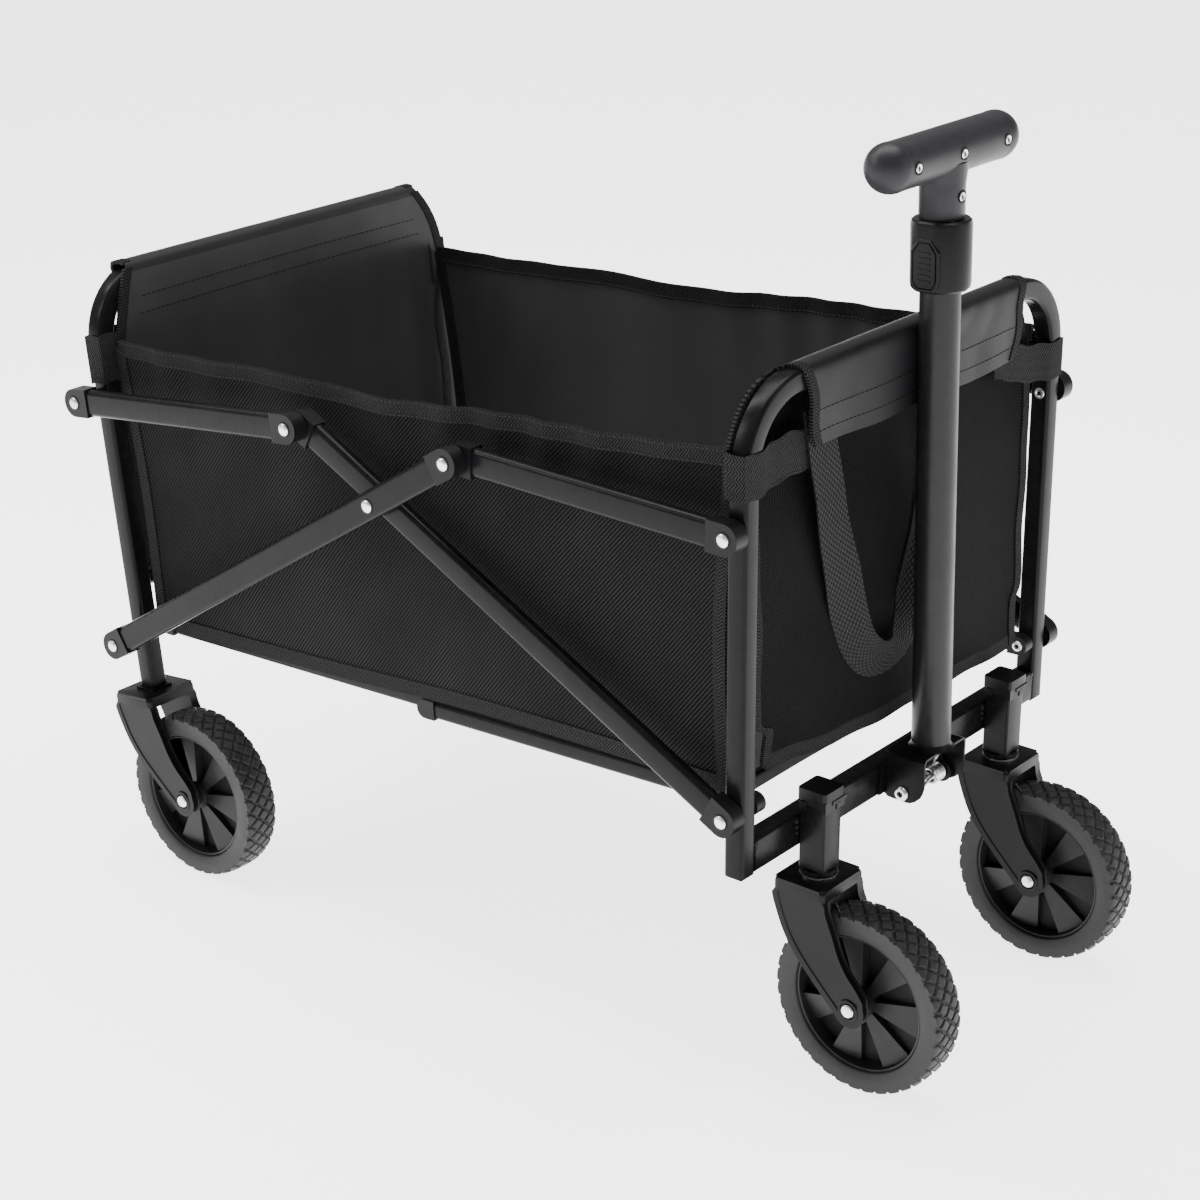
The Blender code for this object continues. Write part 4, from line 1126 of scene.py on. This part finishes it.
def make_ends():
    near, far = (0.2190, 0.2170, 0.1930, None), (0.2215, 0.2340, 0.2010, None)
    make_end("rear", REAR_M, 1, 0.0030, (near, far), 0.1855, 0.185, 0.056, "outer", "over_painted_shade")
    near, far = (0.2150, 0.2380, 0.1640, 0.0730), (0.2030, 0.2080, 0.1660, None)
    make_end("front", FRONT_M, -1, 0.0016, (near, far), 0.1962, 0.150, 0.058, "panel", "flap")


def side_point(side, a, b):
    """The side cloth's outer face: a runs rear to front, b runs bottom to top."""
    middle = math.sin(math.pi * a)
    low = (REAR + Vector((0.0156, 0.0079))).lerp(FRONT + Vector((-0.0156, 0.0063)), a)
    low.y += 0.0075 * middle**0.8 - 0.0030 * math.sin(2 * math.pi * a)
    high = (REAR + Vector((-0.0194, 0.2914))).lerp(FRONT + Vector((-0.0121, 0.3033)), a)
    high.y -= 0.0065 * middle + 0.0022 * math.sin(5.2 * math.pi * a) * middle
    p = low.lerp(high, b)
    waist = math.sin(math.pi * b) ** 1.2
    p.x += 0.0065 * waist * (1 - a) ** 8 - 0.0085 * waist * a**8
    near_top = max(0.0, b - 0.55) / 0.45
    folds = 0.0024 * math.sin(a * 61 + 3 * math.sin(a * 9)) * near_top**1.3 * middle**0.4
    bulge = 0.0065 * middle * math.sin(math.pi * b) + 0.0020 * ripple(p.x, p.y, 4.0 * side, 6)
    calm = min(1.0, a / 0.05, (1 - a) / 0.05)
    y = 0.2215 + max(-0.002, bulge + folds + 0.0012) * calm
    return Vector((p.x, side * y, p.y))


def make_sides():
    for side, tag in SIDES:
        point = functools.partial(side_point, side)
        outward = Vector((0, side, 0))
        piece = Piece("side_cloth_" + tag, "rear_frame", "side_panel_" + tag)
        # inside face: the lightest copy of the coated cloth, painted fill light for the shaded inside
        piece.add(sheet(point, 200, 90, CLOTH, outward, (0.72, 0.29)), ("outer", "inner_side_painted_fill", "tape"))

        def along(t, b, shift):
            return point(0.004 + 0.992 * t, b) + outward * shift

        def upright(t, a):
            return point(a, 0.01 + 0.97 * t) + outward * 0.0020

        for b, shift, facing in (
            (0.976, 0.0011, outward),
            (0.976, -0.0024, -outward),
            (0.026, 0.0011, outward),
        ):
            hem = functools.partial(along, b=b, shift=shift)
            piece.add(ribbon(hem, Vector((0, 0, 0.0145)), 0.0012, facing), "tape")
        for a in (0.0075, 0.9925):
            edge = functools.partial(upright, a=a)
            piece.add(ribbon(edge, Vector((0.0125, 0, 0)), 0.0046, outward), "tape")
        for b, shift, facing in (
            (0.956, 0.0014, outward),
            (0.995, 0.0014, outward),
            (0.049, 0.0014, outward),
            (0.956, -0.0038, -outward),
        ):
            seam = functools.partial(along, b=b, shift=shift)
            stitches(piece, seam, 0.72, "light_thread", 0.0046, 0.0028, facing)
        obj = piece.done(60)
        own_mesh(obj)


def make_tab(end, side, tag, matrix, inward, reach, wrap_more, low, high, rise):
    """Webbing round one leg, sewn on to the end cloth, between two heights."""
    piece = Piece("leg_tab_%s_%s" % (end, tag), end + "_frame", "corner_tab_%s_%s" % (end, tag))
    half = TUBE / 2 + 0.0011
    outer = LEG_Y + half + wrap_more
    line = [(0.0030, reach), (0.0055, 0.195), (half, LEG_Y - 0.010), (half, outer - 0.002)]
    line += [(half - 0.002, outer), (0.002 - half, outer), (-half, outer - 0.002)]
    line += [(-half, LEG_Y - half + 0.002), (-half - 0.001, LEG_Y - half - 0.004)]
    line = smooth_line([(-inward * x, side * y) for x, y in line], 5)
    run = running((q - p).length for p, q in zip(line, line[1:]))
    facing = matrix.to_3x3() @ Vector((-inward, 0, 0))
    leg = matrix @ Vector((0, side * (LEG_Y - 0.004), 0.27))

    def point(a, b):
        i, f = locate(run, a)
        p = line[i - 1].lerp(line[i], f)
        sag = 0.0022 * math.sin(a * 9 + side) * (1 - a) + rise * max(0.0, 1 - a / 0.62) ** 1.2
        shrink = 0.0025 * max(0.0, 1 - a * 4)
        v = low + shrink + (high - low - 2 * shrink) * b + sag + 0.0008 * math.sin(a * 31)
        return matrix @ Vector((p.x, p.y, v))

    def out(a, b):
        away = point(a, b) - leg
        return facing if a < 0.45 else Vector((away.x, away.y, 0))

    def seam(t, b):
        return point(0.02 + 0.42 * t, b) + facing * 0.0003

    piece.add(sheet(point, 54, 12, 0.0010, out, (run[-1], high - low)), "tape")
    for b in (0.06, 0.94):
        line_at = functools.partial(seam, b=b)
        stitches(piece, line_at, 0.42 * run[-1], "light_thread", 0.0046, 0.0028, facing)
    obj = piece.done(60)


def make_tabs():
    for side, tag in SIDES:
        make_tab("rear", side, tag, REAR_M, 1, 0.176, 0.0, 0.2530, 0.2990, 0.0)
    make_tab("front", -1, "near", FRONT_M, -1, 0.134, 0.0020, 0.2700, 0.3075, 0.0)
    make_tab("front", 1, "far", FRONT_M, -1, 0.134, 0.0, 0.2557, 0.2903, 0.0150)


def make_strap():
    """The carrying loop: two hanging runs of webbing joined by a folded bottom."""
    piece = Piece("webbing_loop", "front_frame", "front_strap")
    line = [(-0.1370, 0.590, 0.0029), (-0.1310, 0.550, 0.0058), (-0.1222, 0.514, 0.0070)]
    line += [(-0.1160, 0.478, 0.0084), (-0.1042, 0.440, 0.0089), (-0.0905, 0.400, 0.0084)]
    line += [(-0.0716, 0.362, 0.0076), (-0.0440, 0.3400, 0.0066), (-0.0150, 0.3410, 0.0071)]
    line += [(0.0030, 0.366, 0.0080), (0.0130, 0.402, 0.0074), (0.0260, 0.441, 0.0069)]
    line += [(0.0390, 0.488, 0.0050), (0.0480, 0.534, 0.0040), (0.0520, 0.590, 0.0026)]
    pts = smooth_line([(y, z, FRONT.x + x) for y, z, x in line], 8)
    run = running((q - p).length for p, q in zip(pts, pts[1:]))

    def middle(a):
        i, f = locate(run, a)
        y, z, x = pts[i - 1].lerp(pts[i], f)
        return Vector((x, y, z))

    def point(a, b):
        along = (middle(min(a + 0.01, 1)) - middle(max(a - 0.01, 0))).normalized()
        across = Vector((1, 0, 0)).cross(along).normalized()
        twist = 0.55 * math.exp(-(((a - 0.42) / 0.16) ** 2)) - 0.75 * math.exp(-(((a - 0.70) / 0.14) ** 2))
        across = Matrix.Rotation(twist, 3, along) @ across
        found = middle(a) + across * STRAP_WIDE * (b - 0.5)
        found.x = min(max(found.x, FRONT.x + 0.0004), FRONT.x + 0.0139)
        return found

    piece.add(sheet(point, 150, 10, 0.0016, Vector((1, 0, 0)), (run[-1], STRAP_WIDE)), "web")
    obj = piece.done(60)


# ---------------------------------------------------------------- pull handle


def make_pole():
    """The outer pole with its flat foot: two ears, folded shoulders, a top plate and a collar."""
    piece = Piece("pole_outer", "handle", "outer_pole")
    tube = [(0.0149, POLE_LOW - 0.0012), (0.0165, POLE_LOW - 0.0012), (0.0170, POLE_LOW - 0.0002)]
    tube += [(0.0170, POLE_HIGH), (0.0149, POLE_HIGH)]
    piece.ring(tube, "pole", POLE_M, 64, "Z")
    # A near-black disc down inside the pole tube: painted shade in its hollow.
    floor = [(0, POLE_LOW), (0, POLE_LOW + 0.002), (0.0149, POLE_LOW + 0.002), (0.0149, POLE_LOW)]
    piece.add(lathe(floor, 32, "Z"), "painted_shade", POLE_M)
    back, front = -0.0178, 0.0225
    ear = [(back, POLE_LOW), (back, -0.0040), (-0.0150, -0.0066), (-0.0100, -0.0072), (0.0080, -0.0075)]
    ear += [(0.0130, -0.0050), (0.0175, -0.0010), (0.0200, 0.0040), (0.0215, 0.0090), (front, POLE_LOW)]
    ear = [(u, min(v, POLE_LOW - 0.0030)) for u, v in ear]
    for side, _ in SIDES:
        plate = prism(ear, *span(side, 0.0309, 0.0331))
        piece.add(soften(plate, 0.0006, 2, 50), "frame", HANDLE_M)
        bend = []
        for radius, start, end in ((0.0050, 0, 90), (0.0028, 90, 0)):
            for c, d in arc(0, 0, 1, start, end, 8):
                bend.append(Vector((0, side * (0.0281 + radius * c), POLE_LOW - 0.0050 + radius * d)))
        rings = [[p + Vector((u, 0, 0)) for p in bend] for u in (back, front)]
        piece.add(soften(loft(rings), 0.0005, 2, 60), "frame", HANDLE_M)
    top = box(back, front, -0.0283, 0.0283, POLE_LOW - 0.0022, POLE_LOW, 0.0005)
    piece.add(top, "frame", HANDLE_M)
    collar = [(0.0160, -0.0003), (0.0205, -0.0003), (0.0190, 0.0010), (0.0176, 0.0028)]
    collar += [(0.0169, 0.0052), (0.0160, 0.0052)]
    piece.ring([(r, POLE_LOW + h) for r, h in collar], "frame", POLE_M, 56, "Z")
    piece.done()


def make_hinge():
    """The bracket on the cross tube and the bolt through it."""
    piece = Piece("bracket_plate", "front_frame", "handle_bracket")
    face = FRONT.x + TUBE / 2 + 0.0003
    px, pz = HANDLE
    piece.add(box(face, face + 0.0020, -0.0400, 0.0400, pz - 0.0052, pz + 0.0213, 0.0006), "frame")
    outline = [(face, pz - 0.0044), (px - 0.004, pz - 0.0074)] + arc(px + 0.001, pz, 0.0105, -90, 60, 14)
    outline += [(px - 0.004, pz + 0.0208), (face, pz + 0.0208)]
    for side, _ in SIDES:
        piece.add(soften(prism(outline, *span(side, 0.0265, 0.0285)), 0.0005, 2, 50), "frame")
    piece.done()
    piece = Piece("hinge_bolt", "front_frame", "handle_bolt")
    centre = move(px, 0, pz)
    piece.add(rod(0.0040, -0.0345, 0.0345), "steel", centre)
    head = [(0.0022, 0.0016), (0.0030, 0.0036), (0.0048, 0.0036), (0.0062, 0.0020), (0.0066, 0.0002)]
    head += [(0.0022, 0.0002)]
    for side, _ in SIDES:
        piece.ring([(r, side * (0.0333 + h)) for r, h in head], "steel", centre, 36)
        # dark rod in each head's hole: painted shade
        piece.add(rod(0.0024, *span(side, 0.0333, 0.0351), 6), "painted_shade", centre)
    piece.done(30)


def make_spring():
    """The double coil round the bolt, joined by a short bridge."""
    piece = Piece("hinge_spring", "front_frame", "handle_spring")
    centre = move(HANDLE.x, 0, HANDLE.y)
    wraps, per_wrap, wire_r, coil_r = 6.4, 20, 0.00125, 0.0070
    first, last = 0.0098, 0.0250
    for side, _ in SIDES:
        points = []
        for i in range(int(wraps * per_wrap) + 1):
            a = 2 * math.pi * i / per_wrap
            y = side * (first + (last - first) * i / (wraps * per_wrap))
            points.append(Vector((coil_r * math.cos(a), y, coil_r * math.sin(a))))
        leg = [points[-1] + Vector((0.004 * k, 0, 0.0105 * k)) for k in (0.35, 0.8, 1.3)]
        piece.add(wire(points + leg, wire_r), "steel", centre)
        start = [Vector((coil_r + 0.0006 * k, side * (first - 0.0033 * k), 0.0022 * k)) for k in range(3)]
        piece.add(wire(start, wire_r), "steel", centre)
    bridge = [(0.0082, -0.0036, 0.0044), (0.0088, 0, 0.0048), (0.0082, 0.0036, 0.0044)]
    piece.add(wire([Vector(p) for p in bridge], wire_r), "steel", centre)
    piece.done(30)


def make_collar():
    """The lock collar, flat on the button's side, with the frame round the button."""
    piece = Piece("collar_moulding", "handle", "handle_collar")
    shape = []
    for v, r in (
        (COLLAR_LOW, 0.0222),
        (COLLAR_LOW + 0.0022, 0.0244),
        (COLLAR_LOW + 0.006, 0.0250),
        (COLLAR_HIGH - 0.0042, 0.0252),
        (COLLAR_HIGH - 0.0012, 0.0244),
        (COLLAR_HIGH, 0.0228),
        (COLLAR_HIGH, 0.0150),
        (COLLAR_LOW + 0.018, 0.0150),
        (COLLAR_LOW + 0.018, 0.0172),
        (COLLAR_LOW, 0.0172),
    ):
        flat = 0.0014 if r > 0.02 else 0.0
        shape.append([Vector((r * math.cos(a), max(r * math.sin(a), flat - r), v)) for a in turns(72)])
    piece.add(loft(shape, True), "plastic", POLE_M)
    rim, hole = hex_outline(0.0132, 0.0215), hex_outline(0.0111, 0.0191)
    piece.add(frame_ring(rim, hole, -0.0248, -0.0198), "plastic", POLE_M @ move(0, 0, BUTTON_V))
    piece.done(30)


def make_button():
    piece = Piece("button_ribbed", "button", "lock_button")
    spot = POLE_M @ move(0, 0, BUTTON_V)
    pad = prism(hex_outline(0.0102, 0.0182), -0.0252, -0.0220)
    piece.add(soften(pad, 0.0009, 3, 60), "plastic", spot)
    for i in range(6):
        z = -0.0125 + 0.0046 * i
        piece.add(box(-0.0056, 0.0056, -0.0259, -0.0248, z - 0.0007, z + 0.0007, 0.0003), "plastic", spot)
    piece.done(30)


def make_inner_tube():
    piece = Piece("tube_inner", "handle_inner", "inner_tube")
    tube = [(0.0129, 0.0700), (0.0144, 0.0700), (0.0144, 0.5300), (0.0129, 0.5300)]
    piece.ring(tube, "tube", POLE_M, 48, "Z")
    piece.done(30)


def hex_outline(half_w, half_h):
    """The button's outline: round at the bottom, cut corners at the top."""
    points = [(x, max(z, -half_h)) for x, z in arc(0, -half_h + half_w * 0.8, half_w, 180, 360, 14)]
    points += [(half_w, half_h * 0.55), (half_w * 0.45, half_h)]
    return points + [(-half_w * 0.45, half_h), (-half_w, half_h * 0.55)]


def frame_ring(outer, inner, y0, y1):
    """A flat frame between two outlines with the same number of points."""
    rings = (
        (outer, y1, 1.0, 1.0),
        (outer, y0 + 0.0006, 1.0, 1.0),
        (outer, y0, 0.97, 0.98),
        (inner, y0, 1.02, 1.01),
        (inner, y0 + 0.0005, 1.0, 1.0),
        (inner, y1, 1.0, 1.0),
    )
    return loft([[Vector((x * wide, y, z * high)) for x, z in line] for line, y, wide, high in rings], True)


def make_grip():
    """The T grip: a round bar with domed ends on a flared stem, with sunk rivets."""
    piece = Piece("grip_moulding", "handle_inner", "t_grip")
    spot = POLE_M @ move(0, 0, GRIP_V)
    bar_half = GRIP_HALF - 0.004
    body = [(0, -bar_half), (0.0202, -bar_half), (0.0202, bar_half), (0, bar_half)]
    piece.add(lathe(body, 64), "grip", spot)
    dome = [(0, bar_half - 0.0002), (0.0199, bar_half), (GRIP_R - 0.0002, bar_half + 0.0004)]
    dome += arc(0, GRIP_HALF, GRIP_R, 0, 90, 12)[:-1] + [(0, GRIP_HALF + GRIP_R)]
    for side, _ in SIDES:
        piece.add(lathe([(r, side * h) for r, h in dome], 64), "grip", spot)
    stem = []
    for v, r, blend in (
        (STEM_V, 0.0150, 0),
        (STEM_V, 0.0180, 0),
        (STEM_V + 0.0012, 0.0189, 0),
        (GRIP_V - 0.026, 0.0189, 0),
        (GRIP_V - 0.020, 0.0194, 0.3),
        (GRIP_V - 0.015, 0.0205, 0.9),
        (GRIP_V - 0.008, 0.0212, 1.6),
    ):
        x, y = min(r, 0.0196), r * (1 + 0.10 * blend)
        stem.append([Vector((x * math.cos(a), y * math.sin(a), v - GRIP_V)) for a in turns(64)])
    piece.add(loft(stem), "grip", spot)
    for y in (-0.066, 0.0, 0.066):
        sunk_rivet(piece, spot @ move(0.0200, y, 0))
    sunk_rivet(piece, spot @ move(0.0187, 0, -0.0345))
    piece.done(40)


def sunk_rivet(piece, place):
    """A sunk tube rivet facing +X: a dark ring round it and a dark rod in its hollow middle, both painted
    shade, and a bright rolled rim.
    """
    turn = place @ Matrix.Rotation(-math.pi / 2, 4, "Z")
    ring = [(0.0040, -0.002), (0.0054, -0.002), (0.0054, 0.0005), (0.0048, 0.0009), (0.0040, 0.0003)]
    # dark ring round the rivet: painted shade in its sunk recess
    piece.ring(ring, "painted_shade", turn, 36)
    rim = [(0.0017, -0.002), (0.0017, 0.0002), (0.0024, 0.0009), (0.0033, 0.0010), (0.0040, 0.0002)]
    rim += [(0.0040, -0.002)]
    piece.ring(rim, "steel", turn, 36)
    # dark rod in the hollow middle: painted shade
    piece.add(rod(0.0018, -0.0012, -0.0002, 20), "painted_shade", turn)


# ---------------------------------------------------------------- stage


def finish_cad():
    """The finish of the nodes whose own shape is shown."""
    for _, tag in SIDES:
        for node in ("caster_stem_", "caster_washer_"):
            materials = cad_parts[node + tag].data.materials
            materials.clear()
            materials.append(M["steel"])


def make_stage():
    """A pale floor that glows enough to read as white out to the horizon."""
    reach = 60
    corners = [(-reach, -reach, 0), (reach, -reach, 0), (reach, reach, 0), (-reach, reach, 0)]
    mesh = bpy.data.meshes.new("studio_floor")
    mesh.from_pydata(corners, [], [(0, 1, 2, 3)])
    floor = bpy.data.objects.new("studio_floor", mesh)
    bpy.context.scene.collection.objects.link(floor)
    n = Nodes("pale_floor")
    n.surface(Base_Color=(0.93, 0.93, 0.935, 1), Roughness=0.9, Specular_IOR_Level=0.1)
    n.surface(Emission_Color=(1, 1, 1, 1), Emission_Strength=3.0)
    mesh.materials.append(n.mat)


def area(name, location, target, size, power):
    data = bpy.data.lights.new(name, "AREA")
    data.shape = "RECTANGLE"
    data.size, data.size_y = size
    data.energy = power
    light = bpy.data.objects.new(name, data)
    light.location = location
    light.rotation_euler = (Vector(target) - Vector(location)).to_track_quat("-Z", "Y").to_euler()
    bpy.context.scene.collection.objects.link(light)


def make_light():
    """A white world and four soft boxes, each with its place, target, size in metres and watts."""
    world = bpy.data.worlds.new("studio")
    world.use_nodes = True
    background = world.node_tree.nodes["Background"].inputs
    background["Color"].default_value = (1, 1, 1, 1)
    background["Strength"].default_value = 0.45
    bpy.context.scene.world = world
    area("top_box", (-0.1, 0.2, 2.6), (0, 0, 0.2), (2.0, 1.4), 70)
    area("edge_strip", (-1.55, -0.55, 2.4), (0, -0.1, 0.4), (0.40, 1.5), 30)
    area("left_box", (-1.8, -1.9, 1.9), (0, 0, 0.35), (0.75, 1.0), 23)
    area("right_box", (2.6, 0.9, 1.5), (0.2, 0, 0.4), (0.8, 1.8), 12)


def make_camera():
    right = Vector((0.77378, 0.63343, -0.00478))
    up = Vector((-0.23622, 0.29555, 0.92566))
    ahead = Vector((-0.58776, 0.71513, -0.37832))
    data = bpy.data.cameras.new("studio_camera")
    data.sensor_fit = "HORIZONTAL"
    data.sensor_width = 36.0
    data.lens = 78.342
    data.clip_start, data.clip_end = 0.1, 250
    camera = bpy.data.objects.new("studio_camera", data)
    turn = Matrix((right, up, -ahead)).transposed().to_4x4()
    camera.matrix_world = move(1.4203, -1.7610, 1.2248) @ turn
    bpy.context.scene.collection.objects.link(camera)
    bpy.context.scene.camera = camera


make_hoops()
make_cross_tubes()
make_side_bars()
make_floor_bars()
make_floor_boards()
make_floor_cloth()
make_wheels()
make_ends()
make_sides()
make_tabs()
make_strap()
make_pole()
make_hinge()
make_spring()
make_collar()
make_button()
make_inner_tube()
make_grip()
finish_cad()
make_stage()
make_light()
make_camera()
